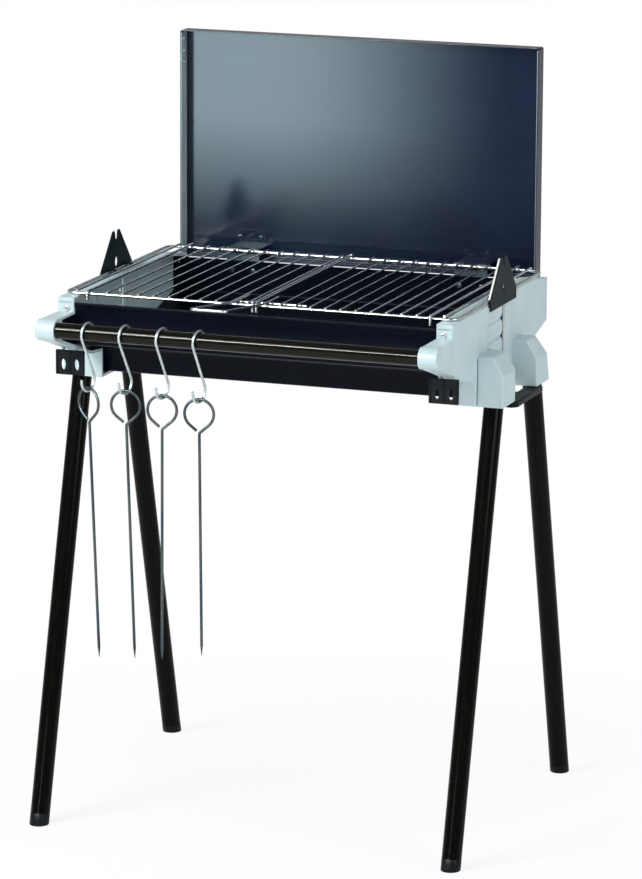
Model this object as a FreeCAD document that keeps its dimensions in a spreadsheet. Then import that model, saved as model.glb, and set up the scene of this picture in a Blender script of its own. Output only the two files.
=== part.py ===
import FreeCAD, Part
import math
import os
import types

import Sketcher

Vector = FreeCAD.Vector
doc = FreeCAD.newDocument("Grill")

# ---------------------------------------------------------------- sizes (mm, degrees)
# Work frame: X to the right, Y to the back, Z up, origin on the floor at the middle of the four feet.
# shift_x and shift_y move every piece, so that the part's own origin is the middle of its footprint.
SIZES = {
    "shift_x": -1.5,
    "shift_y": 34,
    "running_gap": 0.3,
    "pin_gap": 0.05,
    # legs
    "foot_x": 245,
    "foot_y": 206,
    "leg_lean": 15.26,
    "leg_radius": 11.1,
    "leg_wall": 1.2,
    "leg_top_z": 533,
    "plug_height": 12,
    "plug_spigot": 15,
    # end castings
    "casting_inner_x": 212,
    "casting_outer_x": 231,
    "casting_wall": 3,
    "casting_top_z": 603,
    "casting_bottom_z": 497,
    "casting_front_y": 175,
    "casting_rear_y": 172,
    "casting_rear_top_z": 596,
    "casting_rear_top_y": 122,
    "casting_flange": 4,
    "casting_foot_y": 93,
    "casting_foot_z": 527,
    "arm_knee_y": 124,
    "arm_knee_z": 530,
    "arm_root_y": 209,
    "rear_knee_y": 113,
    "rear_knee_z": 532,
    "rear_corner_z": 546.5,
    "boss_radius": 12,
    "boss_inner_x": 211,
    "boss_outer_x": 233,
    "socket_outer_x": 261,
    "socket_chamfer_x": 249,
    "front_socket_inner_y": 43,
    "front_socket_outer_y": 88,
    "front_socket_top_y": 88,
    "front_socket_top_z": 552,
    "rear_socket_inner_y": 38,
    "rear_socket_outer_y": 86,
    "rear_socket_top_y": 71,
    "rear_socket_top_z": 548,
    "socket_bottom_z": 495.5,
    "socket_shoulder": 20,
    # height guide in the outer face
    "guide_front_y": 52,
    "guide_bottom_z": 517,
    "guide_depth": 1.8,
    "rib_depth": 1.6,
    "rib_pitch": 20.5,
    "rib_height": 17.5,
    "rib_start_z": 540.5,
    "rib_chamfer": 4,
    "slot_front_y": 4,
    "slot_rear_y": 12,
    "notch_radius": 3,
    "notch_y": 3,
    "groove_z": 596.5,
    "groove_height": 1.6,
    "groove_depth": 1.5,
    # firebox
    "sheet": 1,
    "firebox_x": 227.2,
    "wall_front_y": 171,
    "wall_rear_y": 168,
    "lip_z": 597,
    "rear_lip_z": 591.5,
    "crease_z": 550,
    "floor_y": 90.5,
    "floor_z": 532,
    "well_y": 72,
    "well_z": 500,
    "hem_depth": 2.2,
    "hem_height": 4,
    "hem_x": 211.5,
    # charcoal plate
    "plate_x": 215,
    "plate_y": 100,
    "plate_z": 540,
    "plate_edge_z": 535.45,
    "plate_slot_width": 7,
    "plate_slot_length": 46,
    "plate_slot_pitch": 19,
    "plate_slot_row_y": 62,
    # rail
    "rail_radius": 9,
    "rail_wall": 1.2,
    "rail_y": 225,
    "rail_z": 575,
    "rail_x": 229,
    # screws in the castings
    "screw_x": 220,
    "screw_z": 591,
    "rear_screw_z": 585,
    "screw_radius": 1.5,
    "screw_head_radius": 2.8,
    "screw_head_height": 1.6,
    "screw_length": 6.5,
    # catches under the rail arms
    "catch_pin_y": 163.5,
    "catch_pin_z": 535,
    "catch_pin_radius": 1.5,
    "catch_barrel_radius": 3.8,
    "catch_inner_x": 202,
    "catch_outer_x": 236,
    "catch_front_y": 170,
    "catch_back_y": 167,
    "catch_top_z": 542,
    "catch_bottom_z": 514,
    "catch_slot_width": 6,
    "catch_slot_height": 14,
    "catch_slot_z": 525.5,
    "ear_width": 2.5,
    "ear_radius": 3.2,
    "ear_top_z": 544.5,
    # ash drawer
    "tray_left_x": -204,
    "tray_half_width": 34,
    "tray_height": 15.5,
    "front_half_width": 36,
    "front_bottom_z": 498,
    "front_top_z": 519,
    "front_thickness": 2,
    "opening_half_width": 35.8,
    "opening_top_z": 518,
    "guide_wing_y": 82,
    "guide_wing_z": 524,
    "guide_foot_y": 42,
    "handle_inner_x": 246,
    "handle_outer_x": 264,
    "handle_front_y": 46,
    "handle_rear_y": 57,
    "handle_top_z": 495,
    "handle_bottom_z": 488,
    "handle_corner": 6,
    "neck_half_width": 12,
    "neck_bottom_z": 489,
    "pad_thickness": 3.2,
    "pad_top_z": 514,
    "drawer_screw_y": 7,
    "drawer_screw_z": 508.5,
    # lid
    "lid_left_x": 221.5,
    "lid_right_x": 215.5,
    "lid_bottom_z": 591,
    "lid_top_z": 858,
    "lid_front_y": 174.5,
    "lid_back_y": 196,
    # lid hinges
    "hinge_x": 140,
    "hinge_y": 168,
    "hinge_z": 604,
    "hinge_half_width": 20,
    "hinge_middle": 8,
    "knuckle_radius": 3.5,
    "hinge_pin_radius": 1.5,
    "leaf": 1.2,
    "fixed_leaf_bottom_z": 572,
    "lid_leaf_z": 606,
    "lid_leaf_top_z": 624,
    "rivet_radius": 1.6,
    "rivet_head_radius": 3,
    "rivet_head_height": 1.2,
    "rivet_x": 13,
    "fixed_rivet_z": 580,
    "lid_rivet_z": 615,
    # grate
    "grate_wire": 1.75,
    "grate_x": 229,
    "grate_y": 157,
    "grate_corner": 12,
    "bar_radius": 1.1,
    "bar_sink": 0.3,
    "left_bar_first": 12.5,
    "left_bar_pitch": 18.5,
    "right_bar_first": 25.5,
    "right_bar_pitch": 17.55,
    "bar_count": 10,
    "end_bar_x": 215,
    "end_bar_radius": 1.5,
    "split_x": -3.25,
    "split_gap": 1,
    "hairpin_radius": 1.3,
    "hairpin_spread": 4.5,
    "cross_radius": 1.6,
    "left_cross_x": -201,
    "right_cross_x": 200,
    "cross_front_y": 161.5,
    "cross_rear_y": 161,
    "cross_drop": 10,
    "handle_wire": 1.5,
    "handle_left_x": -31,
    "handle_root_x": -25.5,
    "handle_right_x": 9,
    "handle_tip_y": 284,
    "handle_tip_z": 622,
    "handle_bend_y": 160,
    "handle_end_y": 118,
    "tie_y": 140,
    "tie_left_x": -30,
    "tie_right_x": 50,
    # hangers
    "hanger_gap": 0.3,
    "hanger_sheet": 1.5,
    "hanger_half_width": 47,
    "hanger_bottom_z": 594.6,
    "hanger_shoulder_z": 607,
    "hanger_tip_z": 649,
    "hanger_fork_z": 639,
    "hanger_tip_y": 10,
    "hanger_fork_y": 5,
    "hanger_hole_width": 9,
    "hanger_hole_height": 12,
    "hanger_hole_z": 613,
    "tab_y": 25,
    "tab_width": 7,
    "tab_reach": 7,
    "tab_drop": 3,
    "rod_radius": 1.5,
    "rod_y": 8,
    "rod_bottom_z": 520,
    "rod_top_z": 601,
    # hooks
    "hook_wire": 1.5,
    "hook_radius": 12,
    "hook_yaw": 13,
    "hook_1_bottom_z": 510,
    "hook_2_bottom_z": 510,
    "hook_3_bottom_z": 508,
    "hook_4_bottom_z": 507,
    "hook_1_x": -174.5,
    "hook_2_x": -130.5,
    "hook_3_x": -86.9,
    "hook_4_x": -43.7,
    # skewers
    "skewer_wire": 1.6,
    "ring_radius": 16.4,
    "ring_neck": 21.5,
    "skewer_1_tip_z": 210,
    "skewer_2_tip_z": 210,
    "skewer_3_tip_z": 212,
    "skewer_4_tip_z": 221,
    "skewer_point": 12,
    "skewer_1_lean": 3.2,
    "skewer_2_lean": 1.9,
    "skewer_3_lean": -0.1,
    "skewer_4_lean": 0.6,
    "turned_ring_yaw": -27,
    "ring_yaw": 8,
}

sheet = doc.addObject("Spreadsheet::Sheet", "sizes")
for row, (alias, number) in enumerate(SIZES.items(), start=1):
    sheet.set("A%d" % row, alias)
    sheet.set("B%d" % row, str(number))
    sheet.setAlias("B%d" % row, alias)
doc.recompute()


class Size:
    """A number together with the sheet expression that yields it."""

    def __init__(self, value, text):
        self.value = value
        self.text = text

    def __add__(self, other):
        other = as_size(other)
        return Size(self.value + other.value, "(%s + %s)" % (self.text, other.text))

    def __sub__(self, other):
        other = as_size(other)
        return Size(self.value - other.value, "(%s - %s)" % (self.text, other.text))

    def __mul__(self, other):
        other = as_size(other)
        return Size(self.value * other.value, "(%s * %s)" % (self.text, other.text))

    def __truediv__(self, other):
        other = as_size(other)
        return Size(self.value / other.value, "(%s / %s)" % (self.text, other.text))

    def __neg__(self):
        return Size(-self.value, "(0 - %s)" % self.text)


def as_size(number):
    if isinstance(number, Size):
        return number
    if number < 0:
        return Size(number, "(0 - %s)" % repr(-number))
    return Size(number, repr(number))


def sine(size):
    return Size(math.sin(math.radians(size.value)), "sin(%s)" % size.text)


def cosine(size):
    return Size(math.cos(math.radians(size.value)), "cos(%s)" % size.text)


s = types.SimpleNamespace()
for alias in SIZES:
    setattr(s, alias, Size(sheet.get(alias), "sizes." + alias))

nodes = []


# ---------------------------------------------------------------- helpers
def bind(obj, path, size):
    obj.setExpression(path, as_size(size).text)


def node(obj, name):
    """Names a finished piece and moves it from the work frame into the part's frame."""
    obj.Label = name
    bind(obj, "Placement.Base.x", s.shift_x)
    bind(obj, "Placement.Base.y", s.shift_y)
    nodes.append(obj)
    return obj


def new_body(name):
    return doc.addObject("PartDesign::Body", name)


def fix_point(sketch, geometry, point, a, b):
    for kind, size in (("DistanceX", as_size(a)), ("DistanceY", as_size(b))):
        index = sketch.addConstraint(Sketcher.Constraint(kind, -1, 1, geometry, point, size.value))
        sketch.setExpression("Constraints[%d]" % index, size.text)


def draw_polygon(sketch, corners):
    corners = [(as_size(a), as_size(b)) for a, b in corners]
    points = [Vector(a.value, b.value, 0) for a, b in corners]
    first = sketch.GeometryCount
    count = len(points)
    for i in range(count):
        sketch.addGeometry(Part.LineSegment(points[i], points[(i + 1) % count]), False)
    for i in range(count):
        following = first + (i + 1) % count
        sketch.addConstraint(Sketcher.Constraint("Coincident", first + i, 2, following, 1))
    for i in range(count):
        fix_point(sketch, first + i, 1, *corners[i])


def draw_circle(sketch, a, b, radius):
    a = as_size(a)
    b = as_size(b)
    circle = Part.Circle(Vector(a.value, b.value, 0), Vector(0, 0, 1), radius.value)
    index = sketch.addGeometry(circle, False)
    fix_point(sketch, index, 3, a, b)
    constraint = sketch.addConstraint(Sketcher.Constraint("Radius", index, radius.value))
    sketch.setExpression("Constraints[%d]" % constraint, radius.text)


# Extrusion axis of each origin plane: YZ runs along +X, XZ along -Y, XY along +Z.
ROLES = {"X": ("YZ_Plane", 1), "Y": ("XZ_Plane", -1), "Z": ("XY_Plane", 1)}


def extrude(body, kind, name, axis, low, high, polygons=(), circles=()):
    """Pad or Pocket of an outline, from low to high along an axis."""
    role, sign = ROLES[axis]
    low = as_size(low)
    high = as_size(high)
    sketch = body.newObject("Sketcher::SketchObject", name + "_outline")
    plane = [item for item in body.Origin.OriginFeatures if item.Role == role][0]
    sketch.AttachmentSupport = (plane, [""])
    sketch.MapMode = "FlatFace"
    middle = (low + high) * (0.5 * sign)
    sketch.AttachmentOffset = FreeCAD.Placement(Vector(0, 0, middle.value), FreeCAD.Rotation())
    bind(sketch, "AttachmentOffset.Base.z", middle)
    for polygon in polygons:
        draw_polygon(sketch, polygon)
    for circle in circles:
        draw_circle(sketch, *circle)
    feature = body.newObject("PartDesign::" + kind, name)
    feature.Profile = sketch
    feature.Midplane = True
    length = high - low
    feature.Length = length.value
    bind(feature, "Length", length)
    doc.recompute()
    return feature


def rectangle(a0, a1, b0, b1):
    return [(a0, b0), (a1, b0), (a1, b1), (a0, b1)]


def span(side, near, far):
    """Low and high X of a stretch between two distances from the middle plane, on one side."""
    near = as_size(near)
    far = as_size(far)
    if side > 0:
        return near, far
    return -far, -near


def box(name, x_range, y_range, z_range):
    solid = doc.addObject("Part::Box", name)
    for edge, axis, (low, high) in zip(("Length", "Width", "Height"), "xyz", (x_range, y_range, z_range)):
        bind(solid, edge, as_size(high) - low)
        bind(solid, "Placement.Base." + axis, low)
    return solid


def cylinder(name, axis, start, length, radius):
    """Cylinder from a start point along +X, +Y or +Z."""
    turns = {
        "X": FreeCAD.Rotation(Vector(0, 1, 0), 90),
        "Y": FreeCAD.Rotation(Vector(-1, 0, 0), 90),
        "Z": FreeCAD.Rotation(),
    }
    solid = doc.addObject("Part::Cylinder", name)
    solid.Placement = FreeCAD.Placement(Vector(), turns[axis])
    bind(solid, "Height", length)
    bind(solid, "Radius", radius)
    for letter, size in zip("xyz", start):
        bind(solid, "Placement.Base." + letter, size)
    return solid


def leaning_cylinder(name, side, end, start_along, length, radius):
    """Cylinder about a leg's axis; start_along is measured from the floor along that axis."""
    solid = doc.addObject("Part::Cylinder", name)
    bind(solid, "Height", length)
    bind(solid, "Radius", radius)
    start_along = as_size(start_along)
    y = (s.foot_y - start_along * sine(s.leg_lean)) * end
    z = start_along * cosine(s.leg_lean)
    turn = FreeCAD.Rotation(Vector(end, 0, 0), s.leg_lean.value)
    solid.Placement = FreeCAD.Placement(Vector(side * s.foot_x.value, y.value, z.value), turn)
    bind(solid, "Placement.Base.x", s.foot_x * side)
    bind(solid, "Placement.Base.y", y)
    bind(solid, "Placement.Base.z", z)
    bind(solid, "Placement.Rotation.Angle", s.leg_lean)
    return solid


def fuse(name, solids):
    result = doc.addObject("Part::MultiFuse", name)
    result.Shapes = solids
    return result


def group(name, solids):
    result = doc.addObject("Part::Compound", name)
    result.Links = solids
    return result


def cut(name, base, tools):
    tool = tools[0]
    if len(tools) > 1:
        tool = fuse(name + "_tools", tools)
    result = doc.addObject("Part::Cut", name)
    result.Base = base
    result.Tool = tool
    doc.recompute()
    return result


# ---------------------------------------------------------------- bent wire
def wire_path(points, bend):
    """Polyline with every inner corner rounded to the bend radius."""
    edges = []
    here = points[0]
    for i in range(1, len(points) - 1):
        before = (points[i - 1] - points[i]).normalize()
        after = (points[i + 1] - points[i]).normalize()
        half = before.getAngle(after) / 2
        reach = bend / math.tan(half)
        entry = points[i] + before * reach
        leave = points[i] + after * reach
        bisector = (before + after).normalize()
        middle = points[i] + bisector * (bend / math.sin(half) - bend)
        edges.append(Part.LineSegment(here, entry).toShape())
        edges.append(Part.Arc(entry, middle, leave).toShape())
        here = leave
    edges.append(Part.LineSegment(here, points[-1]).toShape())
    return edges


def sweep(edges, radius):
    path = Part.Wire(edges)
    start = edges[0].valueAt(edges[0].FirstParameter)
    direction = edges[0].tangentAt(edges[0].FirstParameter)
    section = Part.Wire([Part.makeCircle(radius, start, direction)])
    return path.makePipeShell([section], True, False)


def wire_node(name, shape):
    piece = doc.addObject("Part::Feature", name)
    piece.Shape = shape
    return node(piece, name)


# ---------------------------------------------------------------- end castings
SIDES = (("left", -1), ("right", 1))
ENDS = (("front", -1), ("rear", 1))
LEG_LENGTH = s.leg_top_z / cosine(s.leg_lean)

for side_name, side in SIDES:
    body = new_body(side_name + "_casting_body")
    full = span(side, s.casting_inner_x, s.casting_outer_x)
    outline = [
        (-s.casting_front_y, s.casting_top_z),
        (-s.casting_front_y, s.rail_z + s.boss_radius),
        (-s.rail_y, s.rail_z + s.boss_radius),
        (-s.rail_y, s.rail_z - s.boss_radius),
        (-s.arm_knee_y, s.arm_knee_z),
        (-s.casting_foot_y, s.casting_foot_z),
        (-s.casting_foot_y, s.casting_bottom_z),
        (s.casting_foot_y, s.casting_bottom_z),
        (s.casting_foot_y, s.casting_foot_z),
        (s.rear_knee_y, s.rear_knee_z),
        (s.casting_rear_y, s.rear_corner_z),
        (s.casting_rear_y, s.casting_rear_top_z),
        (s.casting_rear_top_y, s.casting_top_z),
    ]
    extrude(body, "Pad", side_name + "_plate", "X", *full, polygons=[outline])

    # The hollow opens towards the firebox; the wall stays on the outer side.
    wall = s.casting_wall
    slope = wall * 1.1
    arm_fall = (s.arm_knee_z - s.rail_z + s.boss_radius) / (s.rail_y - s.arm_knee_y)
    root_z = s.rail_z - s.boss_radius + arm_fall * (s.rail_y - s.arm_root_y) + slope
    hollow = [
        (-s.casting_front_y + s.casting_flange, s.casting_top_z - wall),
        (-s.casting_front_y + s.casting_flange, s.rail_z + s.boss_radius - wall),
        (-s.arm_root_y, s.rail_z + s.boss_radius - wall),
        (-s.arm_root_y, root_z),
        (-s.arm_knee_y, s.arm_knee_z + slope),
        (-s.casting_foot_y + wall, s.casting_foot_z + slope),
        (-s.casting_foot_y + wall, s.casting_bottom_z + wall),
        (s.casting_foot_y - wall, s.casting_bottom_z + wall),
        (s.casting_foot_y - wall, s.casting_foot_z + slope),
        (s.rear_knee_y, s.rear_knee_z + slope),
        (s.casting_rear_y - s.casting_flange, s.rear_corner_z + slope),
        (s.casting_rear_y - s.casting_flange, s.casting_rear_top_z - wall),
        (s.casting_rear_top_y - 1, s.casting_top_z - slope),
    ]
    inside = span(side, s.casting_inner_x - 5, s.casting_outer_x - wall)
    extrude(body, "Pocket", side_name + "_hollow", "X", *inside, polygons=[hollow])

    boss = span(side, s.boss_inner_x, s.boss_outer_x)
    extrude(body, "Pad", side_name + "_boss", "X", *boss, circles=[(-s.rail_y, s.rail_z, s.boss_radius)])

    # Leg sockets with a chamfered shoulder
    for end_name, end in ENDS:
        name = "%s_%s_socket" % (side_name, end_name)
        top_z = getattr(s, end_name + "_socket_top_z")
        outer_y = getattr(s, end_name + "_socket_outer_y")
        top_y = getattr(s, end_name + "_socket_top_y")
        socket = [
            ((s.casting_outer_x - wall) * side, s.socket_bottom_z),
            (s.socket_outer_x * side, s.socket_bottom_z),
            (s.socket_outer_x * side, top_z - s.socket_shoulder),
            (s.socket_chamfer_x * side, top_z),
            ((s.casting_outer_x - wall) * side, top_z),
        ]
        y_range = span(end, getattr(s, end_name + "_socket_inner_y"), outer_y)
        extrude(body, "Pad", name, "Y", *y_range, polygons=[socket])
        if outer_y.value > top_y.value:
            lean = [
                (outer_y * end, s.socket_bottom_z),
                (top_y * end, top_z),
                (top_y * end, top_z + 1),
                ((outer_y + 1) * end, top_z + 1),
                ((outer_y + 1) * end, s.socket_bottom_z),
            ]
            outside = span(side, s.casting_outer_x, s.socket_outer_x + 1)
            extrude(body, "Pocket", name + "_lean", "X", *outside, polygons=[lean])

    # Height guide: shallow recess, three ribs, notches and the rod slot
    recess = [
        (-s.guide_front_y, s.front_socket_top_z),
        (s.slot_front_y, s.front_socket_top_z - 12),
        (s.slot_front_y, s.casting_top_z + 1),
        (-s.guide_front_y, s.casting_top_z + 1),
    ]
    depth = span(side, s.casting_outer_x - s.guide_depth, s.casting_outer_x + 1)
    extrude(body, "Pocket", side_name + "_recess", "X", *depth, polygons=[recess])
    ribs = []
    notches = []
    for i in range(3):
        low = s.rib_start_z + s.rib_pitch * i
        high = low + s.rib_height
        tip = s.slot_front_y - 1.5
        start = low
        if i == 0:
            start = low + s.rib_height * 0.75
        ribs.append([
            (-s.guide_front_y + 1.5, start),
            (tip - s.rib_chamfer, low),
            (tip, low + s.rib_chamfer),
            (tip, high - s.rib_chamfer),
            (tip - s.rib_chamfer, high),
            (-s.guide_front_y + 1.5, high),
        ])
        notches.append((s.notch_y, low - (s.rib_pitch - s.rib_height) * 0.5, s.notch_radius))
    rib_range = span(side, s.casting_outer_x - s.guide_depth - 0.2, s.casting_outer_x - s.guide_depth + s.rib_depth)
    extrude(body, "Pad", side_name + "_ribs", "X", *rib_range, polygons=ribs)
    through = span(side, s.casting_outer_x - wall - 1, s.casting_outer_x + 1)
    extrude(body, "Pocket", side_name + "_notches", "X", *through, circles=notches)
    slot = rectangle(s.slot_front_y, s.slot_rear_y, s.guide_bottom_z, s.casting_top_z + 1)
    extrude(body, "Pocket", side_name + "_slot", "X", *through, polygons=[slot])

    # Groove and screw hole in the front face, screw hole in the rear face
    groove = rectangle((s.casting_inner_x + 2) * side, (s.casting_outer_x - 2) * side,
                       s.groove_z, s.groove_z + s.groove_height)
    extrude(body, "Pocket", side_name + "_groove", "Y", -s.casting_front_y - 1,
            -s.casting_front_y + s.groove_depth, polygons=[groove])
    hole = [(s.screw_x * side, s.screw_z, s.screw_radius + s.pin_gap)]
    extrude(body, "Pocket", side_name + "_front_hole", "Y", -s.casting_front_y - 1,
            -s.casting_front_y + s.casting_flange + 1, circles=hole)
    hole = [(s.screw_x * side, s.rear_screw_z, s.screw_radius + s.pin_gap)]
    extrude(body, "Pocket", side_name + "_rear_hole", "Y", s.casting_rear_y - s.casting_flange - 1,
            s.casting_rear_y + 1, circles=hole)

    # Ears that carry the catch pin
    for i, near in enumerate((s.casting_inner_x, s.casting_outer_x - s.ear_width)):
        ear = rectangle(-s.catch_pin_y - s.ear_radius, -s.catch_pin_y + s.ear_radius,
                        s.catch_pin_z, s.ear_top_z)
        ear_range = span(side, near, near + s.ear_width)
        name = "%s_ear_%d" % (side_name, i)
        extrude(body, "Pad", name, "X", *ear_range, polygons=[ear])
        round_end = [(-s.catch_pin_y, s.catch_pin_z, s.ear_radius)]
        extrude(body, "Pad", name + "_end", "X", *ear_range, circles=round_end)

    # The drawer leaves through the right casting only
    if side > 0:
        opening = rectangle(-s.opening_half_width, s.opening_half_width,
                            s.well_z + s.sheet - 0.3, s.opening_top_z)
        extrude(body, "Pocket", "drawer_opening", "X", *through, polygons=[opening])

    bore_start = 495
    tools = []
    for end_name, end in ENDS:
        bore = leaning_cylinder("%s_%s_bore" % (side_name, end_name), side, end, bore_start,
                                LEG_LENGTH + s.running_gap - bore_start, s.leg_radius + s.running_gap)
        tools.append(bore)
    rail_start = span(side, s.boss_inner_x - 1, s.rail_x + 0.1)
    tools.append(cylinder(side_name + "_rail_bore", "X", (rail_start[0], -s.rail_y, s.rail_z),
                          rail_start[1] - rail_start[0], s.rail_radius + s.pin_gap))
    pin_low = full[0] - 2
    tools.append(cylinder(side_name + "_pin_bore", "X", (pin_low, -s.catch_pin_y, s.catch_pin_z),
                          s.casting_outer_x - s.casting_inner_x + 4, s.catch_pin_radius + 0.02))
    node(cut(side_name + "_casting", body, tools), side_name + "_end_casting")

# ---------------------------------------------------------------- firebox
body = new_body("firebox_body")
t = s.sheet
outer = [
    (-s.wall_front_y, s.lip_z),
    (-s.wall_front_y, s.crease_z),
    (-s.floor_y, s.floor_z),
    (-s.well_y, s.well_z),
    (s.well_y, s.well_z),
    (s.floor_y, s.floor_z),
    (s.wall_rear_y, s.crease_z),
    (s.wall_rear_y, s.rear_lip_z),
    (s.wall_rear_y - t, s.rear_lip_z),
    (s.wall_rear_y - t, s.crease_z + t * 0.8),
    (s.floor_y - t * 0.7, s.floor_z + t),
    (s.well_y - t * 0.6, s.well_z + t),
    (-s.well_y + t * 0.6, s.well_z + t),
    (-s.floor_y + t * 0.7, s.floor_z + t),
    (-s.wall_front_y + t, s.crease_z + t * 0.8),
    (-s.wall_front_y + t, s.lip_z),
]
extrude(body, "Pad", "firebox_sheet", "X", -s.firebox_x, s.firebox_x, polygons=[outer])
hem = rectangle(-s.wall_front_y - s.hem_depth, -s.wall_front_y + t, s.lip_z - s.hem_height, s.lip_z)
extrude(body, "Pad", "firebox_hem", "X", -s.hem_x, s.hem_x, polygons=[hem])
holes = [(s.screw_x * side, s.screw_z, s.screw_radius + s.pin_gap) for name, side in SIDES]
extrude(body, "Pocket", "firebox_front_holes", "Y", -s.wall_front_y - 1, -s.wall_front_y + t + 1, circles=holes)
holes = [(s.screw_x * side, s.rear_screw_z, s.screw_radius + s.pin_gap) for name, side in SIDES]
for name, side in SIDES:
    for step in (-1, 1):
        holes.append((s.hinge_x * side + s.rivet_x * step, s.fixed_rivet_z, s.rivet_radius))
extrude(body, "Pocket", "firebox_rear_holes", "Y", s.wall_rear_y - t - 1, s.wall_rear_y + 1, circles=holes)
node(body, "firebox")

body = new_body("charcoal_plate_body")
plate_profile = [
    (-s.plate_y, s.plate_z + t),
    (-s.plate_y, s.plate_edge_z),
    (-s.plate_y + t, s.plate_edge_z),
    (-s.plate_y + t, s.plate_z),
    (s.plate_y - t, s.plate_z),
    (s.plate_y - t, s.plate_edge_z),
    (s.plate_y, s.plate_edge_z),
    (s.plate_y, s.plate_z + t),
]
extrude(body, "Pad", "charcoal_sheet", "X", -s.plate_x, s.plate_x, polygons=[plate_profile])
slots = []
slot_x = -s.plate_slot_pitch * 10
for row in (-1, 0, 1):
    middle = s.plate_slot_row_y * row
    slots.append(rectangle(slot_x - s.plate_slot_width / 2, slot_x + s.plate_slot_width / 2,
                           middle - s.plate_slot_length / 2, middle + s.plate_slot_length / 2))
pocket = extrude(body, "Pocket", "charcoal_slots", "Z", s.plate_z - 1, s.plate_z + t + 1, polygons=slots)
pattern = body.newObject("PartDesign::LinearPattern", "charcoal_slot_rows")
pattern.Originals = [pocket]
x_axis = [item for item in body.Origin.OriginFeatures if item.Role == "X_Axis"][0]
pattern.Direction = (x_axis, [""])
pattern.Occurrences = 21
bind(pattern, "Length", s.plate_slot_pitch * 20)
body.Tip = pattern
doc.recompute()
node(body, "charcoal_plate")

# ---------------------------------------------------------------- rail, casting screws
rail = cut("rail_tube", cylinder("rail_outside", "X", (-s.rail_x, -s.rail_y, s.rail_z), s.rail_x * 2, s.rail_radius),
           [cylinder("rail_inside", "X", (-s.rail_x, -s.rail_y, s.rail_z), s.rail_x * 2,
                     s.rail_radius - s.rail_wall)])
node(rail, "front_rail")

screws = []
for side_name, side in SIDES:
    for end_name, end, face in (("front", -1, s.casting_front_y), ("rear", 1, s.casting_rear_y)):
        name = "%s_%s_screw" % (side_name, end_name)
        z = s.screw_z if end < 0 else s.rear_screw_z
        head_y = span(end, face, face + s.screw_head_height)
        shank_y = span(end, face - s.screw_length, face)
        head = cylinder(name + "_head", "Y", (s.screw_x * side, head_y[0], z),
                        s.screw_head_height, s.screw_head_radius)
        shank = cylinder(name + "_shank", "Y", (s.screw_x * side, shank_y[0], z),
                         s.screw_length, s.screw_radius)
        screws.append(fuse(name, [head, shank]))
node(group("casting_screw_group", screws), "casting_screws")

# ---------------------------------------------------------------- catches
for side_name, side in SIDES:
    body = new_body(side_name + "_catch_body")
    face = rectangle(s.catch_inner_x * side, s.catch_outer_x * side, s.catch_bottom_z, s.catch_top_z)
    extrude(body, "Pad", side_name + "_catch_face", "Y", -s.catch_front_y, -s.catch_back_y, polygons=[face])
    barrel_range = span(side, s.casting_inner_x + s.ear_width + 0.5, s.casting_outer_x - s.ear_width - 0.5)
    extrude(body, "Pad", side_name + "_catch_barrel", "X", *barrel_range,
            circles=[(-s.catch_pin_y, s.catch_pin_z, s.catch_barrel_radius)])
    extrude(body, "Pocket", side_name + "_catch_bore", "X", *barrel_range,
            circles=[(-s.catch_pin_y, s.catch_pin_z, s.catch_pin_radius + s.pin_gap)])
    slots = []
    for middle in (s.catch_inner_x + 9, s.catch_outer_x - 9):
        half = s.catch_slot_width / 2
        tall = s.catch_slot_height / 2
        x = middle * side
        z = s.catch_slot_z
        slots.append([(x, z - tall), (x + half * 0.8, z - tall * 0.6), (x + half, z), (x + half * 0.8, z + tall * 0.6),
                      (x, z + tall), (x - half * 0.8, z + tall * 0.6), (x - half, z), (x - half * 0.8, z - tall * 0.6)])
    extrude(body, "Pocket", side_name + "_catch_slots", "Y", -s.catch_front_y - 1, -s.catch_back_y + 1, polygons=slots)
    node(body, side_name + "_catch")
    pin_range = span(side, s.casting_inner_x, s.casting_outer_x)
    pin = cylinder(side_name + "_catch_pin_solid", "X", (pin_range[0], -s.catch_pin_y, s.catch_pin_z),
                   s.casting_outer_x - s.casting_inner_x, s.catch_pin_radius)
    node(group(side_name + "_catch_pin_group", [pin]), side_name + "_catch_pin")

# ---------------------------------------------------------------- legs and foot plugs
for end_name, end in ENDS:
    for side_name, side in SIDES:
        name = "%s_%s" % (end_name, side_name)
        length = LEG_LENGTH - s.plug_height
        outside = leaning_cylinder(name + "_leg_outside", side, end, s.plug_height, length, s.leg_radius)
        inside = leaning_cylinder(name + "_leg_inside", side, end, s.plug_height - 1, length + 2,
                                  s.leg_radius - s.leg_wall)
        node(cut(name + "_tube", outside, [inside]), name + "_leg")
        cap = leaning_cylinder(name + "_cap", side, end, -10, s.plug_height + 10, s.leg_radius)
        spigot = leaning_cylinder(name + "_spigot", side, end, s.plug_height - 1, s.plug_spigot,
                                  s.leg_radius - s.leg_wall - s.pin_gap)
        floor_y = span(end, s.foot_y - 40, s.foot_y + 40)
        floor = box(name + "_floor", (s.foot_x * side - 30, s.foot_x * side + 30), floor_y, (-40, 0))
        node(cut(name + "_plug", fuse(name + "_plug_solid", [cap, spigot]), [floor]), name + "_foot")

# ---------------------------------------------------------------- ash drawer
body = new_body("drawer_tray_body")
tray_z = s.well_z + t
half = s.tray_half_width
extrude(body, "Pad", "tray_block", "Z", tray_z, tray_z + s.tray_height,
        polygons=[rectangle(s.tray_left_x, s.casting_outer_x, -half, half)])
extrude(body, "Pocket", "tray_hollow", "Z", tray_z + t, tray_z + s.tray_height + 1,
        polygons=[rectangle(s.tray_left_x + t, s.casting_outer_x - t, -half + t, half - t)])
screw_holes = [(s.drawer_screw_y * step, s.drawer_screw_z, s.screw_radius + s.pin_gap) for step in (-1, 1)]
extrude(body, "Pocket", "tray_holes", "X", s.casting_outer_x - 2, s.casting_outer_x + 1, circles=screw_holes)
node(body, "drawer_tray")

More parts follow.
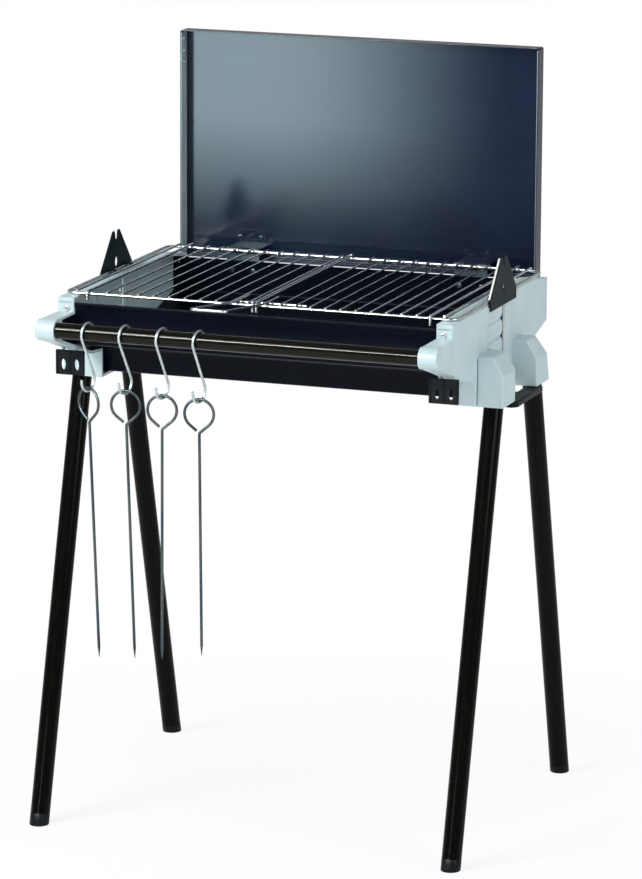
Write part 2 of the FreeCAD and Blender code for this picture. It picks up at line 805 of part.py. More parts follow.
front_x = s.casting_outer_x + s.front_thickness
body = new_body("drawer_front_body")
extrude(body, "Pad", "front_panel", "X", s.casting_outer_x, front_x,
        polygons=[rectangle(-s.front_half_width, s.front_half_width, s.front_bottom_z, s.front_top_z)])
extrude(body, "Pocket", "front_holes", "X", s.casting_outer_x - 1, front_x + 1, circles=screw_holes)
node(body, "drawer_front")

body = new_body("drawer_handle_body")
c = s.handle_corner
x0 = s.handle_inner_x
x1 = s.handle_outer_x
low = -s.handle_front_y
high = s.handle_rear_y
slab = [(x0, low + c), (x0 + c, low), (x1 - c, low), (x1, low + c),
        (x1, high - c), (x1 - c, high), (x0 + c, high), (x0, high - c)]
extrude(body, "Pad", "handle_slab", "Z", s.handle_bottom_z, s.handle_top_z, polygons=[slab])
neck = [(front_x, s.neck_bottom_z), (x0 + c, s.neck_bottom_z), (x0 + c, s.handle_top_z),
        (front_x + s.pad_thickness, s.handle_top_z), (front_x + s.pad_thickness, s.pad_top_z),
        (front_x, s.pad_top_z)]
extrude(body, "Pad", "handle_neck", "Y", -s.neck_half_width, s.neck_half_width, polygons=[neck])
extrude(body, "Pocket", "handle_holes", "X", front_x - 1, front_x + s.pad_thickness + 1, circles=screw_holes)
node(body, "drawer_handle")

screws = []
for i, step in enumerate((-1, 1)):
    y = s.drawer_screw_y * step
    z = s.drawer_screw_z
    head_x = s.casting_outer_x - t - s.screw_head_height
    head = cylinder("drawer_screw_head_%d" % i, "X", (head_x, y, z), s.screw_head_height, s.screw_head_radius)
    shank = cylinder("drawer_screw_shank_%d" % i, "X", (s.casting_outer_x - t, y, z),
                     t + s.front_thickness + s.pad_thickness, s.screw_radius)
    screws.append(fuse("drawer_screw_%d" % i, [head, shank]))
node(group("drawer_screw_group", screws), "drawer_screws")

for end_name, end in ENDS:
    body = new_body(end_name + "_guide_body")
    y = s.tray_half_width + 0.5
    z = s.well_z + t
    profile = [(y * end, z), ((y + t) * end, z), (s.guide_foot_y * end, z), (s.guide_foot_y * end, z + t),
               ((y + t) * end, z + t), ((y + t) * end, s.opening_top_z - t), (s.guide_wing_y * end, s.guide_wing_z),
               (s.guide_wing_y * end, s.guide_wing_z + t), (y * end, s.opening_top_z)]
    profile.pop(1)
    extrude(body, "Pad", end_name + "_guide_sheet", "X", s.tray_left_x, s.firebox_x - 2, polygons=[profile])
    node(body, end_name + "_drawer_guide")

# ---------------------------------------------------------------- lid and its hinges
body = new_body("lid_body")
extrude(body, "Pad", "lid_block", "Y", s.lid_front_y, s.lid_back_y,
        polygons=[rectangle(-s.lid_left_x, s.lid_right_x, s.lid_bottom_z, s.lid_top_z)])
extrude(body, "Pocket", "lid_hollow", "Y", s.lid_front_y - 1, s.lid_back_y - t,
        polygons=[rectangle(-s.lid_left_x + t, s.lid_right_x - t, s.lid_bottom_z + t, s.lid_top_z - t)])
lid_holes = []
for name, side in SIDES:
    for step in (-1, 1):
        lid_holes.append((s.hinge_x * side + s.rivet_x * step, s.lid_rivet_z, s.rivet_radius))
extrude(body, "Pocket", "lid_holes", "Y", s.lid_back_y - t - 1, s.lid_back_y + 1, circles=lid_holes)
node(body, "lid")

pins = []
fixed_rivets = []
lid_rivets = []
w = s.hinge_half_width
m = s.hinge_middle
gap = s.running_gap
for side_name, side in SIDES:
    x = s.hinge_x * side
    wall_y = s.wall_rear_y
    shell = [
        box(side_name + "_fixed_plate", (x - w, x + w), (wall_y, wall_y + s.leaf),
            (s.fixed_leaf_bottom_z, s.hinge_z - s.knuckle_radius - 0.5)),
    ]
    for i, (low, high) in enumerate(((x - w, x - m - gap), (x + m + gap, x + w))):
        shell.append(box("%s_fixed_tongue_%d" % (side_name, i), (low, high), (wall_y, wall_y + s.leaf),
                         (s.hinge_z - s.knuckle_radius - 1, s.hinge_z)))
        shell.append(cylinder("%s_fixed_knuckle_%d" % (side_name, i), "X", (low, s.hinge_y, s.hinge_z),
                              high - low, s.knuckle_radius))
    tools = [cylinder(side_name + "_fixed_bore", "X", (x - w - 1, s.hinge_y, s.hinge_z), w * 2 + 2,
                      s.hinge_pin_radius + 0.02)]
    for i, step in enumerate((-1, 1)):
        tools.append(cylinder("%s_fixed_hole_%d" % (side_name, i), "Y",
                              (x + s.rivet_x * step, wall_y - 1, s.fixed_rivet_z), 4, s.rivet_radius))
    node(cut(side_name + "_fixed_cut", fuse(side_name + "_fixed_solid", shell), tools), side_name + "_fixed_leaf")

    # The lid's leaf runs back inside the pan and turns up against its back panel
    leaf_z = (s.lid_leaf_z - s.leaf, s.lid_leaf_z)
    rear = s.lid_back_y - t
    shell = [
        box(side_name + "_lid_plate", (x - w, x + w), (s.hinge_y + s.knuckle_radius + 0.5, rear), leaf_z),
        box(side_name + "_lid_tongue", (x - m, x + m), (s.hinge_y, rear), leaf_z),
        box(side_name + "_lid_upright", (x - w, x + w), (rear - s.leaf, rear), (leaf_z[0], s.lid_leaf_top_z)),
        cylinder(side_name + "_lid_knuckle", "X", (x - m, s.hinge_y, s.hinge_z), m * 2, s.knuckle_radius),
    ]
    tools = [cylinder(side_name + "_lid_bore", "X", (x - m - 1, s.hinge_y, s.hinge_z), m * 2 + 2,
                      s.hinge_pin_radius + s.pin_gap)]
    for i, step in enumerate((-1, 1)):
        tools.append(cylinder("%s_lid_hole_%d" % (side_name, i), "Y",
                              (x + s.rivet_x * step, rear - s.leaf - 1, s.lid_rivet_z), 4, s.rivet_radius))
    node(cut(side_name + "_lid_cut", fuse(side_name + "_lid_solid", shell), tools), side_name + "_lid_leaf")

    pins.append(cylinder(side_name + "_hinge_pin", "X", (x - w, s.hinge_y, s.hinge_z), w * 2, s.hinge_pin_radius))
    for i, step in enumerate((-1, 1)):
        rx = x + s.rivet_x * step
        height = s.rivet_head_height
        name = "%s_rivet_%d" % (side_name, i)
        fixed_rivets.append(fuse(name + "_fixed", [
            cylinder(name + "_f1", "Y", (rx, wall_y + s.leaf, s.fixed_rivet_z), height, s.rivet_head_radius),
            cylinder(name + "_f2", "Y", (rx, wall_y - t, s.fixed_rivet_z), s.leaf + t, s.rivet_radius),
            cylinder(name + "_f3", "Y", (rx, wall_y - t - height, s.fixed_rivet_z), height, s.rivet_head_radius),
        ]))
        lid_rivets.append(fuse(name + "_lid", [
            cylinder(name + "_l1", "Y", (rx, rear - s.leaf - height, s.lid_rivet_z), height, s.rivet_head_radius),
            cylinder(name + "_l2", "Y", (rx, rear - s.leaf, s.lid_rivet_z), s.leaf + t, s.rivet_radius),
            cylinder(name + "_l3", "Y", (rx, s.lid_back_y, s.lid_rivet_z), height, s.rivet_head_radius),
        ]))
node(group("hinge_pin_group", pins), "hinge_pins")
node(group("fixed_rivet_group", fixed_rivets), "fixed_leaf_rivets")
node(group("lid_rivet_group", lid_rivets), "lid_leaf_rivets")

# ---------------------------------------------------------------- hangers of the grate
hanger_x = s.casting_outer_x + s.hanger_gap
grate_z = s.casting_top_z + s.running_gap + s.grate_wire
for side_name, side in SIDES:
    body = new_body(side_name + "_hanger_body")
    face = [
        (-s.hanger_half_width, s.hanger_bottom_z),
        (s.hanger_half_width, s.hanger_bottom_z),
        (s.hanger_half_width, s.hanger_shoulder_z),
        (s.hanger_tip_y, s.hanger_tip_z),
        (s.hanger_fork_y, s.hanger_tip_z),
        (s.hanger_fork_y / 2, s.hanger_fork_z),
        (-s.hanger_fork_y / 2, s.hanger_fork_z),
        (-s.hanger_fork_y, s.hanger_tip_z),
        (-s.hanger_tip_y, s.hanger_tip_z),
        (-s.hanger_half_width, s.hanger_shoulder_z),
    ]
    plate_range = span(side, hanger_x, hanger_x + s.hanger_sheet)
    extrude(body, "Pad", side_name + "_hanger_face", "X", *plate_range, polygons=[face])
    a = s.hanger_hole_width / 2
    b = s.hanger_hole_height / 2
    z = s.hanger_hole_z
    eye = [(0, z - b), (a * 0.7, z - b * 0.7), (a, z), (a * 0.7, z + b * 0.7),
           (0, z + b), (-a * 0.7, z + b * 0.7), (-a, z), (-a * 0.7, z - b * 0.7)]
    hole_range = span(side, hanger_x - 1, hanger_x + s.hanger_sheet + 1)
    extrude(body, "Pocket", side_name + "_hanger_eye", "X", *hole_range, polygons=[eye])
    # Two tabs reach over the end wire of the grate and turn down behind it
    wire_top = grate_z + s.grate_wire + 0.05
    inner = hanger_x - s.tab_reach
    tab = [(hanger_x * side, wire_top), (hanger_x * side, wire_top + s.hanger_sheet),
           ((inner - s.hanger_sheet) * side, wire_top + s.hanger_sheet),
           ((inner - s.hanger_sheet) * side, wire_top - s.tab_drop),
           (inner * side, wire_top - s.tab_drop), (inner * side, wire_top)]
    for end_name, end in ENDS:
        y_range = span(end, s.tab_y - s.tab_width / 2, s.tab_y + s.tab_width / 2)
        extrude(body, "Pad", "%s_%s_tab" % (side_name, end_name), "Y", *y_range, polygons=[tab])
    node(body, side_name + "_hanger_plate")
    rod_x = (hanger_x - s.rod_radius) * side
    rod = cylinder(side_name + "_rod_solid", "Z", (rod_x, s.rod_y, s.rod_bottom_z),
                   s.rod_top_z - s.rod_bottom_z, s.rod_radius)
    node(group(side_name + "_rod_group", [rod]), side_name + "_hanger_rod")


# ---------------------------------------------------------------- grate, all of bent wire
def n(name):
    return getattr(s, name).value


top = grate_z.value + n("grate_wire")
bar_z = top + n("bar_radius") - n("bar_sink")
for side_name, side in SIDES:
    inner_x = n("split_x") + side * n("split_gap") / 2
    outer_x = side * n("grate_x")
    frame = [
        Vector(inner_x, -n("grate_y"), grate_z.value),
        Vector(outer_x, -n("grate_y"), grate_z.value),
        Vector(outer_x, n("grate_y"), grate_z.value),
        Vector(inner_x, n("grate_y"), grate_z.value),
    ]
    solid = sweep(wire_path(frame, n("grate_corner")), n("grate_wire"))
    bars = []
    for i in range(int(n("bar_count"))):
        x = side * (n(side_name + "_bar_first") + i * n(side_name + "_bar_pitch"))
        start = Vector(x, -n("grate_y") - 1.2, bar_z)
        bars.append(Part.makeCylinder(n("bar_radius"), 2 * n("grate_y") + 2.4, start, Vector(0, 1, 0)))
    end_z = top + n("end_bar_radius") - n("bar_sink")
    start = Vector(side * n("end_bar_x"), -n("grate_y") - 1.2, end_z)
    bars.append(Part.makeCylinder(n("end_bar_radius"), 2 * n("grate_y") + 2.4, start, Vector(0, 1, 0)))
    wire_node("grate_%s_half" % side_name, solid.fuse(bars))

radius = n("hairpin_radius")
z = top + radius + 0.05
half = n("hairpin_spread") / 2
middle = n("split_x")
low = z - n("cross_drop")
hairpin = [
    Vector(middle - half, -n("cross_front_y"), low),
    Vector(middle - half, -n("cross_front_y"), z),
    Vector(middle - half, n("cross_rear_y"), z),
    Vector(middle + half, n("cross_rear_y"), z),
    Vector(middle + half, -n("cross_front_y"), z),
    Vector(middle + half, -n("cross_front_y"), low),
]
wire_node("grate_centre_wire", sweep(wire_path(hairpin, 2.0), radius))

radius = n("cross_radius")
z = top + radius + 0.05
for side_name, side in SIDES:
    x = n(side_name + "_cross_x")
    front_y = -n("cross_front_y") - 0.5
    path = [Vector(x, front_y, z - n("cross_drop")), Vector(x, front_y, z), Vector(x, n("cross_rear_y"), z)]
    wire_node("grate_%s_cross_wire" % side_name, sweep(wire_path(path, 2.2), radius))

radius = n("handle_wire")
z = top + radius + 0.05
handle = [
    Vector(n("handle_root_x"), -n("handle_end_y"), z),
    Vector(n("handle_root_x"), -n("handle_bend_y"), z),
    Vector(n("handle_left_x"), -n("handle_tip_y"), n("handle_tip_z")),
    Vector(n("handle_right_x"), -n("handle_tip_y"), n("handle_tip_z")),
    Vector(n("handle_right_x"), -n("handle_bend_y"), z),
    Vector(n("handle_right_x"), -n("handle_end_y"), z),
]
wire_node("grate_handle", sweep(wire_path(handle, 5), radius))

tie_z = bar_z - n("bar_radius") - radius - 0.05
tie_length = n("tie_right_x") - n("tie_left_x")
tie = Part.makeCylinder(radius, tie_length, Vector(n("tie_left_x"), -n("tie_y"), tie_z), Vector(1, 0, 0))
wire_node("grate_tie", tie)


# ---------------------------------------------------------------- S-hooks and skewers
def circle_point(centre, radius, degrees):
    angle = math.radians(degrees)
    return centre[0] + radius * math.cos(angle), centre[1] + radius * math.sin(angle)


def arc_edge(place, centre, radius, first, last):
    points = [place(*circle_point(centre, radius, angle)) for angle in (first, (first + last) / 2, last)]
    return Part.Arc(*points).toShape()


hook_wire = n("hook_wire")
hook_radius = n("hook_radius")
hook_top = (0, n("rail_z") + n("rail_radius") + n("running_gap") + hook_wire - hook_radius)
yaw = math.radians(n("hook_yaw"))

for number in (1, 2, 3, 4):
    x = n("hook_%d_x" % number)
    hook_low = (0, n("hook_%d_bottom_z" % number) + hook_radius)
    tangent = math.degrees(math.asin(2 * hook_radius / (hook_top[1] - hook_low[1])))
    ring_top = hook_low[1] - hook_radius + hook_wire + n("running_gap") + n("skewer_wire")

    def in_hook(across, z):
        return Vector(x + across * math.sin(yaw), -n("rail_y") + across * math.cos(yaw), z)

    over_rail = arc_edge(in_hook, hook_top, hook_radius, -30, 180 + tangent)
    under = arc_edge(in_hook, hook_low, hook_radius, tangent, -190)
    shank_start = in_hook(*circle_point(hook_top, hook_radius, 180 + tangent))
    shank_end = in_hook(*circle_point(hook_low, hook_radius, tangent))
    shank = Part.LineSegment(shank_start, shank_end).toShape()
    wire_node("hook_%d" % number, sweep([over_rail, shank, under], hook_wire))

    ring_yaw = n("turned_ring_yaw") if number == 1 else n("ring_yaw")
    lean = n("skewer_%d_lean" % number)
    turn = math.radians(ring_yaw)
    along = Vector(math.cos(turn), math.sin(turn), 0)
    pivot = Vector(x, -n("rail_y"), ring_top)
    tilt = FreeCAD.Rotation(Vector(0, 0, 1).cross(along), -lean)

    def in_ring(across, z):
        return pivot + tilt.multVec(along * across + Vector(0, 0, z - ring_top))

    ring = n("ring_radius")
    centre = (0, ring_top - ring)
    neck_z = centre[1] - n("ring_neck")
    spread = math.degrees(math.acos(ring / n("ring_neck")))
    right = -90 + spread
    left = 270 - spread
    loop = arc_edge(in_ring, centre, ring, right, left)
    right_point = circle_point(centre, ring, right)
    left_point = circle_point(centre, ring, left)
    stop = (left_point[0] * 0.28, left_point[1] + (neck_z - left_point[1]) * 0.72)
    shank = [in_ring(0, n("skewer_%d_tip_z" % number) + n("skewer_point")), in_ring(0, neck_z), in_ring(*right_point)]
    edges = wire_path(shank, 4)
    edges.append(loop)
    edges.append(Part.LineSegment(in_ring(*left_point), in_ring(*stop)).toShape())
    skewer = sweep(edges, n("skewer_wire"))
    down = in_ring(0, 0) - in_ring(0, 1)
    point = Part.makeCone(n("skewer_wire"), 0.25, n("skewer_point"), shank[0], down)
    wire_node("skewer_%d" % number, skewer.fuse(point))

# ---------------------------------------------------------------- checks and files
doc.recompute()
for obj in doc.Objects:
    if "Invalid" in obj.State or "Error" in obj.State:
        raise RuntimeError("broken feature: %s %s" % (obj.Name, obj.State))
os.makedirs("parts", exist_ok=True)
for piece in nodes:
    shape = piece.Shape
    if shape.isNull() or not shape.isValid() or not shape.Solids:
        raise RuntimeError("bad shape: " + piece.Label)
    shape.exportStep("parts/%s.step" % piece.Label)
    low = shape.BoundBox
    print("%-24s %d solids  x %.1f..%.1f  y %.1f..%.1f  z %.1f..%.1f" % (
        piece.Label, len(shape.Solids), low.XMin, low.XMax, low.YMin, low.YMax, low.ZMin, low.ZMax))
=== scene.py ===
# %% [markdown]
# # A portable charcoal grill
# The construction model comes in as a fixed frame: every sheet, tube and wire already stands in its place.
# One could model the grill again from nothing, but then looks and motion would drift apart. Here the
# exact parts stay, get their finishes, and are traded for a richer piece only where the eye notices.

# %% Load the fixed frame
from math import cos, pi, radians, sin

import bmesh
import bpy
from mathutils import Matrix, Vector


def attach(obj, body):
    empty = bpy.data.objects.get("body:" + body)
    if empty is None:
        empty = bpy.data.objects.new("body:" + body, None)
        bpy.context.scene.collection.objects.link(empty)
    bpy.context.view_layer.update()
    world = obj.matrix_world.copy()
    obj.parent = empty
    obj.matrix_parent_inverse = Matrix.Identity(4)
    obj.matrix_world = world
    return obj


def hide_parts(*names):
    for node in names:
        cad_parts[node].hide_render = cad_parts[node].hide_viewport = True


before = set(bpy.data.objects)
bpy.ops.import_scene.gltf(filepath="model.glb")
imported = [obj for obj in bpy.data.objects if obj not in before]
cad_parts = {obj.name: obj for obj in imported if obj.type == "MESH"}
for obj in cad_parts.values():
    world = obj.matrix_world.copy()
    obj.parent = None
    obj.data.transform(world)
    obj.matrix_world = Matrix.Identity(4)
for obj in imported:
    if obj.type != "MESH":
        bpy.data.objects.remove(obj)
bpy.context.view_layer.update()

# %% [markdown]
# ## Where things are
# The construction drawing counts in millimetres from the middle of the four feet. Blender works in
# metres, and the part's origin is the middle of its footprint. One small helper turns drawing numbers
# into points, so that the rest of the script can speak the language of the drawing.

# %% Drawing coordinates to points
DRAWING_ORIGIN = Vector((-0.0015, 0.034, 0))


def at(x, y, z):
    """A point of the construction drawing, in millimetres, as a point of the scene."""
    return Vector((x, y, z)) / 1000 + DRAWING_ORIGIN


print("middle of the front rail:", tuple(round(v, 4) for v in at(0, -225, 575)))

# %% [markdown]
# ## The camera
# A photograph from far away with a long lens keeps upright lines nearly parallel. A short lens from
# close by would also fill the picture, but the legs would splay. The camera's three axes are set
# as a matrix, which leaves no doubt about its small roll; a tracking constraint couldn't give that.

# %% Camera
turn, rise, roll = radians(19.61), radians(12.42), radians(0.31)
SENSOR_MM, FOCAL_MM = 36, 268.1
GRILL_MIDDLE = at(0, 0, 430)
back = Vector((sin(turn) * cos(rise), -cos(turn) * cos(rise), sin(rise)))
level_right = Vector((cos(turn), sin(turn), 0))
level_up = back.cross(level_right)
right = level_right * cos(roll) + level_up * sin(roll)
up = level_up * cos(roll) - level_right * sin(roll)
lens = bpy.data.cameras.new("camera")
lens.sensor_fit, lens.sensor_width, lens.lens = "HORIZONTAL", SENSOR_MM, FOCAL_MM
lens.clip_end = 100
camera = bpy.data.objects.new("camera", lens)
camera.matrix_world = Matrix((right, up, back)).transposed().to_4x4()
camera.location = at(1796.1, -4991.2, 1591.0)
bpy.context.scene.collection.objects.link(camera)
bpy.context.scene.camera = camera
print("camera stands", round((camera.location - GRILL_MIDDLE).length, 2), "m from the grill")

# %% [markdown]
# ## Studio light
# Dark enamel and chrome show what surrounds them more than their own colour. A single bulb would give
# hard spots, so two lamps are large soft panels. Two narrow strips exist only to be mirrored: one draws
# the bright line along the round rail, the other a faint line down the front legs. Matt paint sees neither.


# %% Soft panels and narrow strips
def soft_panel(name, place, target, width, height, power):
    """A rectangular soft lamp at a place, facing a target, both in metres."""
    light = bpy.data.lights.new(name, "AREA")
    light.shape, light.size, light.size_y, light.energy = "RECTANGLE", width, height, power
    lamp = bpy.data.objects.new(name, light)
    lamp.location = place
    lamp.rotation_mode = "QUATERNION"
    lamp.rotation_quaternion = (Vector(target) - Vector(place)).to_track_quat("-Z", "Y")
    lamp.visible_camera = False
    bpy.context.scene.collection.objects.link(lamp)
    return lamp


soft_panel("key_panel", (-1.7, -2.3, 2.3), (0, 0, 0.5), 1.6, 1.4, 92)
soft_panel("right_panel", (2.3, -1.0, 1.5), (0.1, 0, 0.5), 1.2, 1.6, 22)
strips = [soft_panel("rail_strip", (-0.45, -1.96, 1.66), (0.0, -0.19, 0.575), 1.5, 0.07, 75),
          soft_panel("leg_strip", (-0.35, -2.2, 0.15), (0.0, 0.0, 0.30), 0.05, 0.9, 5)]
for strip in strips:
    strip.visible_diffuse = False

# %% [markdown]
# ## White surroundings
# The photograph's background is plain white. The world is white for what looks at it straight or
# through glass. It is dimmer for the light that it sheds, so that pale paint keeps its colour, and dimmer
# still in mirrors: a fully white room would turn black enamel grey and rob the chrome of its contrast.

# %% World
WHITE_FOR_CAMERA, WHITE_FOR_PAINT, WHITE_FOR_MIRRORS = 1.0, 0.52, 0.34
world = bpy.data.worlds.new("studio")
bpy.context.scene.world = world
world.use_nodes = True
tree = world.node_tree
path = tree.nodes.new("ShaderNodeLightPath")
seen = tree.nodes.new("ShaderNodeMath")
seen.operation, seen.use_clamp = "ADD", True
tree.links.new(path.outputs["Is Camera Ray"], seen.inputs[0])
tree.links.new(path.outputs["Is Transmission Ray"], seen.inputs[1])
indirect = tree.nodes.new("ShaderNodeMapRange")
indirect.inputs["To Min"].default_value = WHITE_FOR_PAINT
indirect.inputs["To Max"].default_value = WHITE_FOR_MIRRORS
tree.links.new(path.outputs["Is Glossy Ray"], indirect.inputs["Value"])
strength = tree.nodes.new("ShaderNodeMapRange")
strength.inputs["To Max"].default_value = WHITE_FOR_CAMERA
tree.links.new(seen.outputs[0], strength.inputs["Value"])
tree.links.new(indirect.outputs["Result"], strength.inputs["To Min"])
tree.links.new(strength.outputs["Result"], tree.nodes["Background"].inputs["Strength"])
tree.nodes["Background"].inputs["Color"].default_value = (1, 1, 1, 1)
bpy.context.scene.view_settings.view_transform = "Standard"
print("world strength for soft light:", WHITE_FOR_PAINT)

# %% [markdown]
# ## How a finish is written
# A flat colour looks like plastic film. Real paint and metal vary a little everywhere: in tint, in
# gloss and in height. Each finish below starts from a noise in object coordinates, which stays put
# when a piece moves, and sends it to colour, roughness and bump. A few helpers keep that short.


# %% Helpers for finishes
class Finish:
    """A material under construction: its nodes, its shader and the object coordinates."""

    def __init__(self, name):
        self.material = bpy.data.materials.new(name)
        self.material.use_nodes = True
        self.nodes = self.material.node_tree.nodes
        self.shader = self.nodes["Principled BSDF"]
        self.place = self.nodes.new("ShaderNodeTexCoord").outputs["Object"]

    def link(self, output, target):
        self.material.node_tree.links.new(output, target)

    def noise(self, scale, detail=3.0, stretch=(1, 1, 1), rough=0.5):
        """Cloudy noise; stretch makes it finer along an axis, as on drawn wire."""
        mapping = self.nodes.new("ShaderNodeMapping")
        mapping.inputs["Scale"].default_value = stretch
        self.link(self.place, mapping.inputs["Vector"])
        cloud = self.nodes.new("ShaderNodeTexNoise")
        cloud.inputs["Scale"].default_value = scale
        cloud.inputs["Detail"].default_value = detail
        cloud.inputs["Roughness"].default_value = rough
        self.link(mapping.outputs["Vector"], cloud.inputs["Vector"])
        return cloud.outputs["Fac"]

    def tint(self, pattern, stops, fade="LINEAR"):
        """Colours along a pattern, as (position, colour) pairs."""
        ramp = self.nodes.new("ShaderNodeValToRGB")
        ramp.color_ramp.interpolation = fade
        while len(ramp.color_ramp.elements) < len(stops):
            ramp.color_ramp.elements.new(0.5)
        for element, (position, colour) in zip(ramp.color_ramp.elements, stops):
            element.position, element.color = position, (*colour, 1)
        self.link(pattern, ramp.inputs["Fac"])
        return ramp.outputs["Color"]

    def between(self, pattern, low, high, start=0.3, stop=0.7):
        """A number that follows a pattern from low to high."""
        scaled = self.nodes.new("ShaderNodeMapRange")
        for name, value in (("From Min", start), ("From Max", stop), ("To Min", low), ("To Max", high)):
            scaled.inputs[name].default_value = value
        self.link(pattern, scaled.inputs["Value"])
        return scaled.outputs["Result"]

    def bump(self, pattern, depth_mm, strength=1.0):
        """Small unevenness of a depth in millimetres."""
        bump = self.nodes.new("ShaderNodeBump")
        bump.inputs["Distance"].default_value = depth_mm / 1000
        bump.inputs["Strength"].default_value = strength
        self.link(pattern, bump.inputs["Height"])
        self.link(bump.outputs["Normal"], self.shader.inputs["Normal"])

    def set(self, **values):
        """Sets constants on the shader's own sockets."""
        for name, value in values.items():
            self.shader.inputs[name.replace("_", " ")].default_value = value

    def calc(self, operation, first, second):
        """One step of arithmetic: an output with a number or with another output."""
        step = self.nodes.new("ShaderNodeMath")
        step.operation = operation
        self.link(first, step.inputs[0])
        if isinstance(second, float):
            step.inputs[1].default_value = second
        else:
            self.link(second, step.inputs[1])
        return step.outputs[0]

    def show_mix(self, share, first, second):
        """Makes the surface a blend of two shaders; the share belongs to the second."""
        blend = self.nodes.new("ShaderNodeMixShader")
        self.link(share, blend.inputs["Fac"])
        self.link(first, blend.inputs[1])
        self.link(second, blend.inputs[2])
        self.link(blend.outputs["Shader"], self.nodes["Material Output"].inputs["Surface"])


print("helpers ready")

# %% [markdown]
# ## Paint on the end castings
# The two ends are die cast and powder coated in a light grey with a hint of blue-green. Powder paint
# has a faint orange-peel surface and tiny cloudy differences in tint. A photo texture would need
# unwrapping; two noises, one broad and one fine, say the same and cover every face.

# %% Casting paint
casting = Finish("casting_paint")
clouds = casting.noise(38, 4)
grains = casting.noise(900, 2)
casting.link(casting.tint(clouds, [(0.28, (0.455, 0.590, 0.615)), (0.5, (0.490, 0.625, 0.655)),
                                   (0.74, (0.530, 0.655, 0.690))]), casting.shader.inputs["Base Color"])
casting.link(casting.between(grains, 0.36, 0.50), casting.shader.inputs["Roughness"])
casting.bump(grains, 0.05, 0.5)
casting.set(Specular_IOR_Level=0.5)
print("casting paint:", len(casting.nodes), "nodes")

# %% [markdown]
# ## Enamel
# Lid, trough and charcoal plate are sheet steel with a dark blue, nearly black enamel. Fired enamel is
# smooth but never flat: it pools in slow waves and holds a few pin-pricks. The trough's outside is the
# same colour with hardly any mirror strength, because the photographed front wall stays black.

# %% Dark enamel
def enamel_finish(name, depth, gloss, low, high):
    """Dark blue enamel; depth multiplies its colour, gloss is its mirror strength."""
    made = Finish(name)
    waves = made.noise(14, 3)
    peel = made.noise(420, 3)
    blues = ((0.3, (0.0030, 0.0076, 0.0210)), (0.55, (0.0040, 0.0100, 0.0290)),
             (0.75, (0.0054, 0.0130, 0.0360)))
    stops = [(position, [depth * part for part in blue]) for position, blue in blues]
    made.link(made.tint(waves, stops), made.shader.inputs["Base Color"])
    made.link(made.between(peel, low, high), made.shader.inputs["Roughness"])
    made.bump(peel, 0.03, 0.35)
    made.set(Specular_IOR_Level=gloss)
    return made


lid_enamel = enamel_finish("lid_enamel", 0.9, 0.40, 0.12, 0.17)
enamel = enamel_finish("dark_enamel", 0.35, 0.40, 0.20, 0.28)
outer_enamel = enamel_finish("outer_enamel", 0.28, 0.06, 0.26, 0.34)
print("enamel:", len(enamel.nodes), "nodes")

# %% [markdown]
# ## Glossy tube
# Legs and rail are steel tube with a thin glossy black stove enamel that leans to brown-green where
# light passes through it. Its gloss runs in long faint streaks from drawing and dipping, so the noise
# is squeezed along the tube's length.


# %% Gloss tube paint
def tube_finish(name, stretch, tints, roughness, bump, gloss):
    """Glossy paint with long streaks; bump is a depth in millimetres and a strength."""
    made = Finish(name)
    streaks = made.noise(60, 3, stretch=stretch)
    dust = made.noise(1300, 2)
    made.link(made.tint(streaks, tints), made.shader.inputs["Base Color"])
    made.link(made.between(dust, *roughness), made.shader.inputs["Roughness"])
    made.bump(streaks, *bump)
    made.set(Specular_IOR_Level=gloss)
    return made


TUBE_TINTS = [(0.3, (0.0006, 0.0012, 0.0006)), (0.55, (0.0014, 0.0020, 0.0010)),
              (0.75, (0.0036, 0.0032, 0.0020))]
tube_paint = tube_finish("gloss_tube", (4, 4, 0.25), TUBE_TINTS, (0.12, 0.19), (0.04, 0.25), 0.09)
print("tube paint:", len(tube_paint.nodes), "nodes")

# %% [markdown]
# ## Rail paint
# The rail is the same tube lying along X, so its streaks run that way, and more brown shows in the
# paint. Turning one pattern by the camera or by a driver would be fragile; a second finish is simple.

# %% Gloss rail paint
RAIL_TINTS = [(0.3, (0.0016, 0.0024, 0.0006)), (0.55, (0.0034, 0.0034, 0.0012)),
              (0.75, (0.0080, 0.0056, 0.0030))]
rail_paint = tube_finish("gloss_rail", (0.25, 4, 4), RAIL_TINTS, (0.07, 0.11), (0.03, 0.15), 0.16)
print("rail paint:", len(rail_paint.nodes), "nodes")

# %% [markdown]
# ## Chrome wire
# The grate is plated wire. Chrome is a metal with almost no colour and very low roughness, and the
# plating over drawn wire keeps faint ripples. Small dull patches scattered over the wire make it
# believable.

# %% Chrome
chrome = Finish("chrome_wire")
patches = chrome.noise(120, 3)
ripples = chrome.noise(700, 2)
chrome.link(chrome.tint(patches, [(0.30, (0.50, 0.54, 0.55)), (0.60, (0.80, 0.80, 0.78))]),
            chrome.shader.inputs["Base Color"])
chrome.link(chrome.between(patches, 0.18, 0.07), chrome.shader.inputs["Roughness"])
chrome.bump(ripples, 0.03, 0.3)
chrome.set(Metallic=1.0)
print("chrome:", len(chrome.nodes), "nodes")

# %% [markdown]
# ## Zinc wire, dark steel and bare steel
# The S-hooks are zinc plated: a metal with a soft grey bloom. The skewers are uncoated spring steel,
# blued by heat, and the fixed leaves and pins of the hinges share that finish. Screws and rods are plain
# bright steel. All three are metals, told apart by colour, roughness and the size of their patches.

# %% Zinc wire
zinc = Finish("zinc_wire")
bloom = zinc.noise(260, 4)
zinc.link(zinc.tint(bloom, [(0.3, (0.42, 0.50, 0.52)), (0.7, (0.66, 0.74, 0.75))]),
          zinc.shader.inputs["Base Color"])
zinc.link(zinc.between(bloom, 0.42, 0.26), zinc.shader.inputs["Roughness"])
zinc.bump(bloom, 0.03, 0.4)
zinc.set(Metallic=1.0)
print("zinc:", len(zinc.nodes), "nodes")

